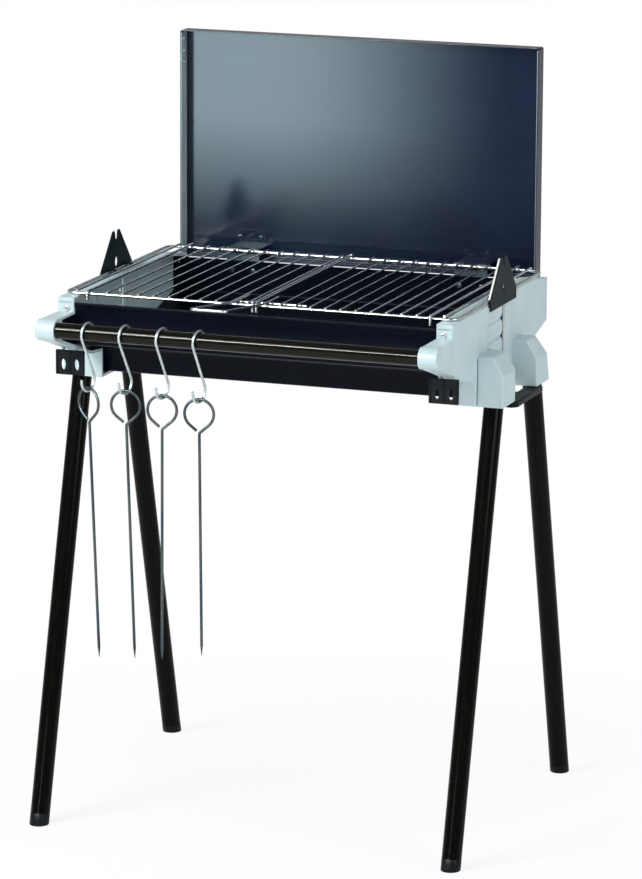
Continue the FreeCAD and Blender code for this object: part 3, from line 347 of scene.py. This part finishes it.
# %% Blued skewer steel
blued = Finish("blued_steel")
heat = blued.noise(26, 3, stretch=(1, 1, 0.6))
drawn = blued.noise(600, 3, stretch=(3, 3, 0.15))
blued.link(blued.tint(heat, [(0.28, (0.045, 0.056, 0.070)), (0.48, (0.070, 0.092, 0.106)),
                             (0.62, (0.100, 0.112, 0.118)), (0.8, (0.130, 0.126, 0.122))]),
           blued.shader.inputs["Base Color"])
blued.link(blued.between(drawn, 0.30, 0.46), blued.shader.inputs["Roughness"])
blued.bump(drawn, 0.03, 0.4)
blued.set(Metallic=1.0)
print("blued steel:", len(blued.nodes), "nodes")

# %% Bare bright steel
bright = Finish("bright_steel")
brushed = bright.noise(800, 3, stretch=(1, 1, 3))
bright.link(bright.tint(brushed, [(0.3, (0.50, 0.51, 0.52)), (0.7, (0.72, 0.72, 0.71))]),
            bright.shader.inputs["Base Color"])
bright.link(bright.between(brushed, 0.22, 0.36), bright.shader.inputs["Roughness"])
bright.bump(brushed, 0.02, 0.4)
bright.set(Metallic=1.0)
print("bright steel:", len(bright.nodes), "nodes")

# %% [markdown]
# ## Hanger plates
# The two pointed plates are cut from dark blued sheet; their cut edges are bare and catch the light.
# The face finish is a dull dark metal-like lacquer with fine upright brushing, and the edge takes the
# bright steel. Two slots on one mesh tell them apart, so no mask is needed.

# %% Plate lacquer
plate_lacquer = Finish("plate_lacquer")
brush = plate_lacquer.noise(240, 4, stretch=(3, 3, 0.4))
PLATE_TINTS = [(0.3, (0.0045, 0.0100, 0.0120)), (0.7, (0.0110, 0.0210, 0.0250))]
plate_lacquer.link(plate_lacquer.tint(brush, PLATE_TINTS), plate_lacquer.shader.inputs["Base Color"])
plate_lacquer.link(plate_lacquer.between(brush, 0.38, 0.52), plate_lacquer.shader.inputs["Roughness"])
plate_lacquer.bump(brush, 0.03, 0.4)
plate_lacquer.set(Specular_IOR_Level=0.08)
print("plate lacquer:", len(plate_lacquer.nodes), "nodes")

# %% [markdown]
# ## Black plastic
# Drawer handle, catches and foot plugs are moulded in black plastic with a fine spark-eroded grain.
# A Voronoi cell pattern would look like leather; a fine noise gives the even sandy grain of a mould.

# %% Moulded plastic
plastic = Finish("black_plastic")
sand = plastic.noise(1500, 2)
shade = plastic.noise(50, 3)
plastic.link(plastic.tint(shade, [(0.3, (0.0010, 0.0024, 0.0050)), (0.7, (0.0024, 0.0050, 0.0090))]),
             plastic.shader.inputs["Base Color"])
plastic.link(plastic.between(sand, 0.34, 0.46), plastic.shader.inputs["Roughness"])
plastic.bump(sand, 0.05, 0.5)
plastic.set(Specular_IOR_Level=0.16)
print("plastic:", len(plastic.nodes), "nodes")

# %% [markdown]
# ## Galvanised sheet
# The ash drawer and its guides are galvanised sheet, whose zinc freezes in flat crystals, the spangle.
# Here Voronoi cells are right: each cell gets its own grey and its own gloss.

# %% Galvanised sheet
galvanised = Finish("galvanised_sheet")
cells = galvanised.nodes.new("ShaderNodeTexVoronoi")
cells.inputs["Scale"].default_value = 160
galvanised.link(galvanised.place, cells.inputs["Vector"])
grey = galvanised.nodes.new("ShaderNodeSeparateColor")
galvanised.link(cells.outputs["Color"], grey.inputs["Color"])
SPANGLE = [(0.0, (0.36, 0.38, 0.39)), (1.0, (0.56, 0.58, 0.59))]
galvanised.link(galvanised.tint(grey.outputs["Red"], SPANGLE), galvanised.shader.inputs["Base Color"])
galvanised.link(galvanised.between(grey.outputs["Green"], 0.32, 0.48, 0.0, 1.0),
                galvanised.shader.inputs["Roughness"])
galvanised.bump(galvanised.noise(500, 2), 0.02, 0.3)
galvanised.set(Metallic=1.0)
print("galvanised sheet:", len(galvanised.nodes), "nodes")

# %% [markdown]
# ## Zinc strip with painted light
# The strips inside the lid's side walls are zinc: paler than the galvanised drawer, without spangle,
# and matt. Their pale grey is painted light, standing in for the light on the inner face of each side
# wall. A metal shader would mirror the dark pan around it, so a plain grey with a weak mirror paints
# what the eye sees: a pale line beside the dark panel.

# %% Zinc with painted light
strip_light_paint = Finish("zinc_painted_light")
light_clouds = strip_light_paint.noise(70, 4, stretch=(1, 1, 0.4))
strip_light_paint.link(strip_light_paint.tint(light_clouds, [(0.3, (0.22, 0.29, 0.32)), (0.7, (0.34, 0.42, 0.44))]),
               strip_light_paint.shader.inputs["Base Color"])
strip_light_paint.link(strip_light_paint.between(light_clouds, 0.42, 0.56), strip_light_paint.shader.inputs["Roughness"])
strip_light_paint.bump(strip_light_paint.noise(600, 2), 0.03, 0.4)
strip_light_paint.set(Specular_IOR_Level=0.5)
print("zinc painted light:", len(strip_light_paint.nodes), "nodes")

# %% [markdown]
# ## Painted highlight on a cut edge
# One long edge of the right plate stands in the key light and shows almost white. A metal would mirror
# the dark lid there, so the highlight is painted: a pale grey with only a little mirror.

# %% Painted edge highlight
painted_edge_highlight = Finish("painted_edge_highlight")
highlight_streaks = painted_edge_highlight.noise(500, 3, stretch=(3, 1, 0.3))
painted_edge_highlight.link(painted_edge_highlight.tint(highlight_streaks, [(0.3, (0.66, 0.66, 0.62)), (0.7, (0.84, 0.84, 0.80))]),
               painted_edge_highlight.shader.inputs["Base Color"])
painted_edge_highlight.link(painted_edge_highlight.between(highlight_streaks, 0.28, 0.42), painted_edge_highlight.shader.inputs["Roughness"])
painted_edge_highlight.bump(highlight_streaks, 0.02, 0.3)
print("painted edge highlight:", len(painted_edge_highlight.nodes), "nodes")

# %% [markdown]
# ## Painted shade in seams and hollows
# Where a lid panel meets its folded walls, inside the cross recesses of the screws and beside the leg
# sockets, a narrow gap or hollow lies in shade. That shade is painted in a matt, slightly uneven black.

# %% Painted shade black
shade_black = Finish("painted_shade_black")
shade_mottle = shade_black.noise(700, 2)
shade_black.link(shade_black.tint(shade_mottle, [(0.3, (0.0015, 0.0030, 0.0060)), (0.7, (0.0040, 0.0065, 0.0110))]),
            shade_black.shader.inputs["Base Color"])
shade_black.link(shade_black.between(shade_mottle, 0.55, 0.75), shade_black.shader.inputs["Roughness"])
shade_black.bump(shade_mottle, 0.1, 0.5)
shade_black.set(Specular_IOR_Level=0.2)
print("sealer:", len(shade_black.nodes), "nodes")

# %% [markdown]
# ## Dressing the exact parts
# Most wires and small parts already have their true shape. They keep their mesh, and only their
# material changes. A table of name beginnings is enough to reach them all: a later row overrides an
# earlier one, and what no row names is bright steel.

# %% Finishes on the parts of the frame
LEGS = [end + "_" + side for end in ("front", "rear") for side in ("left", "right")]
FINISHES = [
    (("left_end", "right_end"), casting), (("charcoal",), enamel), (("front_rail",), rail_paint),
    (("firebox",), outer_enamel), (("lid", "left_lid", "right_lid"), lid_enamel),
    (("left_fixed", "right_fixed", "fixed_leaf", "hinge_pins"), blued),
    (tuple(leg + "_leg" for leg in LEGS), tube_paint), (tuple(leg + "_foot" for leg in LEGS), plastic),
    (("grate",), chrome), (("skewer",), blued), (("hook",), zinc),
    (("left_hanger_p", "right_hanger_p"), plate_lacquer), (("drawer_handle",), plastic),
    (("drawer_tray", "drawer_front", "front_drawer", "rear_drawer"), galvanised),
    (("left_catch", "right_catch"), plastic), (("left_catch_pin", "right_catch_pin"), bright),
]
dressed = {}
for name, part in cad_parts.items():
    chosen = bright
    for starts, finish in FINISHES:
        if name.startswith(starts):
            chosen = finish
    part.data.materials.clear()
    part.data.materials.append(chosen.material)
    dressed[name] = chosen.material.name
print("dressed", len(dressed), "parts with", len(set(dressed.values())), "finishes")

# %% [markdown]
# ## Making a piece
# A new piece is shaped in a bmesh, turned into an object at the origin, given its finish, and told
# which moving body carries it. Rounded edges are shaded smooth, but broad faces are shaded flat: smooth
# shading would tilt the normals of a whole panel towards its bevels, and a mirror shows that at once.


# %% Helpers for pieces
BROAD = 1.5e-4  # square metres: from this size on a face is shaded flat


def new_piece(name, mesh_in_work, finishes, body, replaced=(), sharp=38):
    """Turns a bmesh into a piece that rides on a body and may stand for parts of the frame."""
    mesh = bpy.data.meshes.new(name)
    mesh_in_work.to_mesh(mesh)
    mesh_in_work.free()
    stale = mesh.attributes.get("custom_normal")
    if stale:
        mesh.attributes.remove(stale)
    mesh.materials.clear()
    for finish in finishes:
        mesh.materials.append(finish.material)
    mesh.set_sharp_from_angle(angle=radians(sharp))
    for polygon in mesh.polygons:
        polygon.use_smooth = polygon.area < BROAD
    piece = bpy.data.objects.new(name, mesh)
    bpy.context.scene.collection.objects.link(piece)
    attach(piece, body)
    if replaced:
        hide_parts(*replaced)
    print(name, "has", len(mesh.polygons), "faces and rides on", body)
    return piece


def copy_of(node):
    """The mesh of a part as clean flat faces: loose triangles are merged, then dissolved."""
    work = bmesh.new()
    work.from_mesh(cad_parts[node].data)
    bmesh.ops.remove_doubles(work, verts=work.verts, dist=2e-6)
    bmesh.ops.dissolve_limit(work, angle_limit=radians(0.8), verts=work.verts, edges=work.edges)
    return work


def corner_edges(work, least=40, wanted=lambda middle: True):
    """Edges where two faces meet at more than an angle, filtered by where their middle lies."""
    found = []
    for edge in work.edges:
        if len(edge.link_faces) == 2 and edge.calc_face_angle() > radians(least):
            middle = (edge.verts[0].co + edge.verts[1].co) / 2
            if wanted((middle - DRAWING_ORIGIN) * 1000):
                found.append(edge)
    return found


def round_off(work, edges, radius_mm, segments=2):
    """Bevels edges to a radius in millimetres."""
    bmesh.ops.bevel(work, geom=edges, offset=radius_mm / 1000, offset_type="OFFSET", segments=segments,
                    profile=0.5, affect="EDGES", material=-1, clamp_overlap=False, loop_slide=True)


print("piece helpers ready")

# %% [markdown]
# ## End castings
# A casting has no knife-sharp edge: the metal must leave its mould, and the paint rounds it further.
# The soft highlights along those edges are what makes the photographed ends look cast. The exact part
# is copied and its corners are bevelled: outer corners widely, the fine ribs of the height guide little.


# %% Rounded castings
SKIN_X = 0.2305  # metres from the middle: the outer skin begins here
SCREW_X, SCREWS = 220, ((-175, 591, -1), (172, 585, 1))  # y, z and the way each screw head looks
RAIL_YZ, PIN_YZ = Vector((-225, 575)), Vector((-163.5, 535))


def in_guide(middle):
    """Corners of the height guide in the outer wall."""
    return abs(middle.x) > 224 and -60 < middle.y < 16 and middle.z > 512


def on_shell(middle):
    """Corners of the outer skin, away from the hollow and from small holes."""
    near_screw = abs(abs(middle.x) - SCREW_X) < 3 and any(abs(middle.z - z) < 4 for y, z, away in SCREWS)
    near_rail = (Vector((middle.y, middle.z)) - RAIL_YZ).length < 11.5
    near_pin = (Vector((middle.y, middle.z)) - PIN_YZ).length < 3.4
    return not (in_guide(middle) or near_screw or near_rail or near_pin)


for side in ("left", "right"):
    node = side + "_end_casting"
    shell = copy_of(node)
    outer = [e for e in corner_edges(shell, 24, on_shell)
             if abs((e.verts[0].co.x + e.verts[1].co.x) / 2 - DRAWING_ORIGIN.x) > SKIN_X and e.is_convex]
    round_off(shell, outer, 1.7, 3)
    round_off(shell, corner_edges(shell, 40, in_guide), 0.7, 2)
    new_piece(side + "_casting_shell", shell, [casting], "base", [node], 32)

# %% [markdown]
# ## Trough
# The trough is one folded sheet, so its creases are rounded on both faces and its front lip is rolled.
# A long rounded crease draws one quiet light line over the whole front. The radius at the thin cut
# edges must stay below half the sheet, or the two sides of the bevel would cross.


# %% Folded trough
CREASES = ((550, 1.5), (532, 1.6), (500, 1.6))  # height of each fold and the reach around it


def long_crease(middle):
    """Folds of the trough that run from end to end."""
    return abs(middle.x) < 226 and any(abs(middle.z - height) < reach for height, reach in CREASES)


LONG = 0.2  # metres: only edges that run along the whole trough
trough = copy_of("firebox")
creases = [e for e in corner_edges(trough, 9, long_crease) if e.calc_length() > LONG]
round_off(trough, creases, 2.4, 3)
lip = [e for e in corner_edges(trough, 60, lambda m: m.y < -172 and m.z > 590) if e.calc_length() > LONG]
round_off(trough, lip, 1.0, 3)
trough.normal_update()
for face in trough.faces:
    to_bowl = at(0, 0, 640) - face.calc_center_median()
    face.material_index = 1 if face.normal.y * to_bowl.y + face.normal.z * to_bowl.z > 0 else 0
new_piece("trough", trough, [outer_enamel, enamel], "base", ["firebox"], 40)

# %% [markdown]
# ## Lid
# The lid is a shallow pan folded from sheet. A cube is the quickest start: one side is taken off, the
# fold lines are bevelled, and a solidify gives the sheet its thickness inwards, so that the outside
# keeps the size of the drawing. The free rim gets a small rounding of its own.

# %% Lid pan
pan = bmesh.new()
bmesh.ops.create_cube(pan, size=1)
RIM_Y = 174.5
low, high = at(-221.5, RIM_Y, 591), at(215.5, 196, 858)
bmesh.ops.scale(pan, vec=high - low, verts=pan.verts)
bmesh.ops.translate(pan, vec=(low + high) / 2, verts=pan.verts)
open_side = [f for f in pan.faces if f.normal.y < -0.9]
bmesh.ops.delete(pan, geom=open_side, context="FACES_ONLY")
folds = [e for e in pan.edges if len(e.link_faces) == 2]
round_off(pan, folds, 2.2, 3)
bmesh.ops.recalc_face_normals(pan, faces=pan.faces)
if sum(f.normal.y * f.calc_area() for f in pan.faces) < 0:
    bmesh.ops.reverse_faces(pan, faces=pan.faces)
bmesh.ops.solidify(pan, geom=pan.faces[:], thickness=0.001)
round_off(pan, corner_edges(pan, 60, lambda m: m.y < RIM_Y + 0.3), 0.35, 2)
new_piece("lid_pan", pan, [lid_enamel], "lid_body", ["lid"], 40)

# %% [markdown]
# ## Details of the lid
# A zinc strip stiffens each side wall from within and is held by small rivets near the top; its pale
# grey is painted light on the wall's inner face. A dark line along the inner fold is painted shade in
# the crease. Each is thin trim on the sheet. Flat bars are made from a cube with bevelled edges; rivet
# heads are half spheres, squashed.


# %% Bars and rivet heads
def add_bar(work, low, high, radius_mm=0.3):
    """Adds a bar between two corners, with rounded edges, to a bmesh."""
    made = bmesh.ops.create_cube(work, size=1)["verts"]
    bmesh.ops.scale(work, vec=high - low, verts=made)
    bmesh.ops.translate(work, vec=(low + high) / 2, verts=made)
    edges = list({e for v in made for e in v.link_edges})
    if radius_mm:
        round_off(work, edges, radius_mm, 2)


def add_dome(work, place, direction, radius_mm, height_mm):
    """Adds a low round head that stands on a surface, its flat side closed."""
    made = bmesh.ops.create_uvsphere(work, u_segments=16, v_segments=8, radius=1)["verts"]
    size = Matrix.Diagonal((radius_mm / 1000, radius_mm / 1000, height_mm / 1000, 1))
    turned = Vector(direction).to_track_quat("Z", "Y").to_matrix().to_4x4()
    bmesh.ops.transform(work, matrix=Matrix.Translation(place) @ turned @ size, verts=made)


STRIP_MM = 0.8
# the pale strips are painted light on the inner faces of the side walls
trim = bmesh.new()
rivets = bmesh.new()
for side, wall_x in ((-1, -220.5), (1, 214.5)):
    inner_x = wall_x - side * STRIP_MM
    near, far = sorted((wall_x, inner_x))
    add_bar(trim, at(near, 175.2, 594), at(far, 191.8, 855.5), 0.25)
    for drop in (10, 24, 37):
        add_dome(rivets, at(inner_x, 184, 857 - drop), (-side, 0, 0), 1.7, 1.1)
new_piece("lid_strips_painted_light", trim, [strip_light_paint], "lid_body")
new_piece("lid_edge_rivets", rivets, [bright], "lid_body")

# painted shade: a dark bar in each inner fold of the lid, where the crease lies in shade
crease_shade = bmesh.new()
add_bar(crease_shade, at(-220.4, 193.9, 594), at(-218.6, 194.95, 855), 0.2)
add_bar(crease_shade, at(212.6, 193.9, 594), at(214.4, 194.95, 855), 0.2)
add_bar(crease_shade, at(-218.6, 194.2, 855.2), at(212.6, 194.95, 856.6), 0.2)
new_piece("lid_crease_shade", crease_shade, [shade_black], "lid_body")

# %% [markdown]
# ## Screws of the castings
# Each end is held to the trough by a pan head screw with a cross recess. A head is a disc whose rim is
# bevelled round; the recess is two crossed slots. Cutting them with a boolean is possible, but dark
# bars let into the head a little, painted shade in place of the slots' hollow, read the same at this size
# and keep the mesh clean.

# %% Pan head screws
HEAD_MM, HEAD_RADIUS = 1.6, 0.0029
heads = bmesh.new()
slot_shade_bars = bmesh.new()
for x in (-SCREW_X, SCREW_X):
    for y, z, away in SCREWS:
        made = bmesh.ops.create_cone(heads, segments=32, radius1=HEAD_RADIUS, radius2=HEAD_RADIUS,
                                     depth=HEAD_MM / 1000, cap_ends=True)
        stand = Matrix.Translation(at(x, y + away * HEAD_MM / 2, z)) @ Matrix.Rotation(radians(90), 4, "X")
        bmesh.ops.transform(heads, matrix=stand, verts=made["verts"])
        seat = at(0, y, 0).y
        rim = [e for v in made["verts"] for e in v.link_edges
               if e.calc_face_angle(0) > 1 and all((w.co.y - seat) * away > 0.001 for w in e.verts)]
        round_off(heads, list(set(rim)), 0.9, 3)
        top = y + away * (HEAD_MM + 0.02)
        near, far = sorted((top, top - away * 0.5))
        add_bar(slot_shade_bars, at(x - 1.5, near, z - 0.35), at(x + 1.5, far, z + 0.35), 0)
        add_bar(slot_shade_bars, at(x - 0.35, near, z - 1.5), at(x + 0.35, far, z + 1.5), 0)
new_piece("casting_screw_heads", heads, [bright], "base", ["casting_screws"])
# painted shade: dark bars stand for the shade inside each cross recess
new_piece("screw_slot_shade", slot_shade_bars, [shade_black], "base")

# %% [markdown]
# ## Ribs inside the castings
# Through the open trough one looks at the inner face of the castings, where the height guide is
# stiffened from behind. Plain upright ribs stand on that face, drafted and rounded as in any casting.

# %% Inner ribs
for side, name in ((-1, "left"), (1, "right")):
    ribs = bmesh.new()
    for y in (-70, 22):
        near, far = sorted((side * 228.2, side * 225.4))
        add_bar(ribs, at(near, y - 1.6, 552), at(far, y + 1.6, 599), 0.6)
    new_piece(name + "_casting_ribs", ribs, [casting], "base")

# %% [markdown]
# ## Painted shade beside the leg sockets
# Beside each front leg socket a thin dark line runs where the socket meets the plate: the shade of a
# narrow gap. A groove of a quarter millimetre would vanish in the render; a fine dark strip in the inner
# corner is painted shade that reads as the same line.

# %% Painted gap shade
gap_shade_bars = bmesh.new()
for side in (-1, 1):
    near, far = sorted((side * 230.9, side * 231.45))
    add_bar(gap_shade_bars, at(near, -88.5, 497.5), at(far, -87.9, 550.5), 0)
new_piece("socket_gap_shade", gap_shade_bars, [shade_black], "base")

# %% [markdown]
# ## Welds of the grate
# Every bar of the grate is resistance welded onto the frame wire, which squeezes out a small lump of
# metal on both sides. Dozens of tiny lumps must stay light, so each is a low sphere of few faces.

# %% Weld lumps
welds = bmesh.new()
bars_left = [-12.5 - 18.5 * i for i in range(10)] + [-215]
bars_right = [25.5 + 17.55 * i for i in range(10)] + [215]
for x in bars_left + bars_right:
    for y in (-157, 157):
        lump = bmesh.ops.create_icosphere(welds, subdivisions=1, radius=0.0016)["verts"]
        bmesh.ops.scale(welds, vec=(1.0, 0.8, 0.5), verts=lump)
        bmesh.ops.translate(welds, vec=at(x, y, 606.6), verts=lump)
new_piece("grate_welds", welds, [chrome], "grate", sharp=80)

# %% [markdown]
# ## Hanger plates
# The exact plate is copied and its cut edge gets the bright steel. Faces whose normal lies in the
# plane of the sheet are the cut edge. The side towards the grate is bare too and is found by its place.
# A thin pale bar follows the right plate's front edge: a painted highlight, one pale line where the key
# light catches the edge.

# %% Plates with bright cut edges
INNER_SIDE = 0.2310  # metres from the middle
for side in ("left", "right"):
    node = side + "_hanger_plate"
    plate = copy_of(node)
    round_off(plate, corner_edges(plate, 50), 0.25, 1)
    plate.normal_update()
    for face in plate.faces:
        inward = abs(face.calc_center_median().x - DRAWING_ORIGIN.x) < INNER_SIDE
        face.material_index = 1 if inward or abs(face.normal.x) < 0.8 else 0
    new_piece(side + "_pointed_plate", plate, [plate_lacquer, bright], "grate", [node])

# %% Painted highlight on the right plate's front edge
edge = bmesh.new()
tip, heel = at(0, -10, 649), at(0, -47, 607)
way = tip - heel
made = bmesh.ops.create_cube(edge, size=1)["verts"]
bmesh.ops.scale(edge, vec=(0.0022, 0.0010, way.length - 0.002), verts=made)
lean = Matrix.Rotation(-(pi / 2 - way.normalized().angle(Vector((0, 1, 0)))), 4, "X")
middle = (tip + heel) / 2 + Vector((0.2302, 0.0006, 0))
bmesh.ops.transform(edge, matrix=Matrix.Translation(middle) @ lean, verts=made)
round_off(edge, edge.edges[:], 0.25, 2)
new_piece("right_plate_highlight", edge, [painted_edge_highlight], "grate")

# %% [markdown]
# ## Catches
# The two catches under the rail are moulded with upright ridges between their pointed slots. The
# ridges are half-round bars on the front face; the plate under them is the exact part, rounded.


# %% Catches with ridges
CATCH_X, RIDGE_RADIUS = 219, 0.0013


def on_catch_border(middle):
    """Front corners along the border of a catch, away from its slots."""
    outside = middle.z < 514.5 or middle.z > 541.5 or abs(abs(middle.x) - CATCH_X) > 16.5
    return middle.y < -166 and outside


for side, name in ((-1, "left"), (1, "right")):
    node = name + "_catch"
    catch = copy_of(node)
    round_off(catch, corner_edges(catch, 50, on_catch_border), 0.5, 2)
    for x in (CATCH_X - 15.6, CATCH_X, CATCH_X + 15.6):
        ridge = bmesh.ops.create_cone(catch, segments=20, radius1=RIDGE_RADIUS, radius2=RIDGE_RADIUS,
                                      depth=0.0255, cap_ends=True)["verts"]
        bmesh.ops.scale(catch, vec=(1, 0.75, 1), verts=ridge)
        bmesh.ops.translate(catch, vec=at(side * x, -170, 528), verts=ridge)
    new_piece(name + "_ridged_catch", catch, [plastic], node + "_body", [node])

# %% [markdown]
# ## Drawer handle, feet and rivets
# Small moulded and turned parts only need their corners broken. One loop does them all: copy, bevel
# what is sharper than fifty degrees, and let the piece stand for the exact part.

# %% Small parts with broken corners
SMALL = [("drawer_handle", 1.6, 3, plastic, "drawer", "black_plastic"),
         ("drawer_front", 0.5, 2, galvanised, "drawer", "sheet_steel"),
         ("fixed_leaf_rivets", 0.6, 2, blued, "base", "plain_steel"),
         ("lid_leaf_rivets", 0.6, 2, lid_enamel, "lid_body", "enamel")]
for leg in LEGS:
    SMALL.append((leg + "_foot", 0.8, 2, plastic, leg + "_leg_body", "black_plastic"))
for node, radius, segments, finish, body, slot in SMALL:
    work = copy_of(node)
    round_off(work, corner_edges(work, 50), radius, segments)
    new_piece(node + "_rounded", work, [finish], body, [node])

# %% [markdown]
# ## A card for the lid to mirror
# The open lid is a dull mirror, and the photographed one fades from pale on the left to navy on the
# right. Large lamps could draw that fade, but they would show in the front wall too. So a glowing card
# stands close before the lid, facing it, graded from left to right and fading at its foot. Only mirrors
# see it, and only those farther behind it than the grate, so that the chrome keeps its contrast.

# %% Graded card
CARD_X, CARD_Y, CARD_Z = (-0.80, 0.55), -0.10, (0.545, 1.15)
FADE_X, FOOT_Z = (-0.42, 0.20), (0.565, 0.705)
CARD_POWER, FOOT_SHARE = 11.0, 0.08
MIRROR_DISTANCE = 0.302  # metres behind the card: the lid is farther, the grate nearer

card = Finish("graded_card")
axes = card.nodes.new("ShaderNodeSeparateXYZ")
card.link(card.place, axes.inputs[0])
across = card.between(axes.outputs["X"], 0.0, 1.0, *FADE_X)
grade = card.tint(across, [(0.28, (0.66, 0.86, 0.92)), (0.80, (0.005, 0.015, 0.045))], "EASE")
foot = card.between(axes.outputs["Z"], FOOT_SHARE, 1.0, *FOOT_Z)
glow = card.nodes.new("ShaderNodeEmission")
card.link(grade, glow.inputs["Color"])
card.link(card.calc("MULTIPLY", foot, CARD_POWER), glow.inputs["Strength"])
clear = card.nodes.new("ShaderNodeBsdfTransparent")
looking = card.nodes.new("ShaderNodeSeparateXYZ")
card.link(card.nodes.new("ShaderNodeNewGeometry").outputs["Incoming"], looking.inputs[0])
ray_length = card.nodes.new("ShaderNodeLightPath").outputs["Ray Length"]
behind = card.calc("MULTIPLY", ray_length, looking.outputs["Y"])
too_near = card.calc("LESS_THAN", behind, MIRROR_DISTANCE)
card.show_mix(too_near, glow.outputs["Emission"], clear.outputs["BSDF"])
sheet = bmesh.new()
outline = ((CARD_X[0], CARD_Z[0]), (CARD_X[0], CARD_Z[1]), (CARD_X[1], CARD_Z[1]), (CARD_X[1], CARD_Z[0]))
sheet.faces.new([sheet.verts.new((x, CARD_Y, z)) for x, z in outline])
sheet.normal_update()
if sheet.faces[:][0].normal.y < 0:
    bmesh.ops.reverse_faces(sheet, faces=sheet.faces[:])
mesh = bpy.data.meshes.new("graded_card")
sheet.to_mesh(mesh)
sheet.free()
mesh.materials.append(card.material)
board = bpy.data.objects.new("graded_card", mesh)
board.visible_camera = board.visible_diffuse = False
board.visible_transmission = board.visible_shadow = False
bpy.context.scene.collection.objects.link(board)
print("card faces", tuple(round(v, 2) for v in mesh.polygons[0].normal))

# %% [markdown]
# ## Floor
# A pale sheet of paper under the grill keeps a trace of soft shadow. Away from the grill it fades into
# plain white light for the camera, so that no horizon shows between the paper and the white world.

# %% Floor
HALF_FLOOR = 14  # metres from the middle to an edge
PAPER_FADE = (0.15, 0.75)  # metres from the middle: where the white light begins and where it is full
paper = bmesh.new()
bmesh.ops.create_grid(paper, x_segments=1, y_segments=1, size=HALF_FLOOR)
mesh = bpy.data.meshes.new("floor")
paper.to_mesh(mesh)
paper.free()
floor = bpy.data.objects.new("floor", mesh)
floor.location.z = -0.0004
bpy.context.scene.collection.objects.link(floor)
pale = Finish("pale_paper")
fibres = pale.noise(90, 3)
pale.link(pale.tint(fibres, [(0.3, (0.90, 0.90, 0.90)), (0.7, (0.93, 0.93, 0.93))]),
          pale.shader.inputs["Base Color"])
pale.set(Roughness=0.9, Specular_IOR_Level=0.1)
glow = pale.nodes.new("ShaderNodeEmission")
rays = pale.nodes.new("ShaderNodeLightPath")
length = pale.nodes.new("ShaderNodeVectorMath")
length.operation = "LENGTH"
pale.link(pale.place, length.inputs[0])
far = pale.between(length.outputs["Value"], 0.80, 1.0, *PAPER_FADE)
camera_part = pale.calc("MULTIPLY", far, rays.outputs["Is Camera Ray"])
pale.show_mix(camera_part, pale.shader.outputs["BSDF"], glow.outputs["Emission"])
mesh.materials.append(pale.material)
print("floor spans", 2 * HALF_FLOOR, "m")
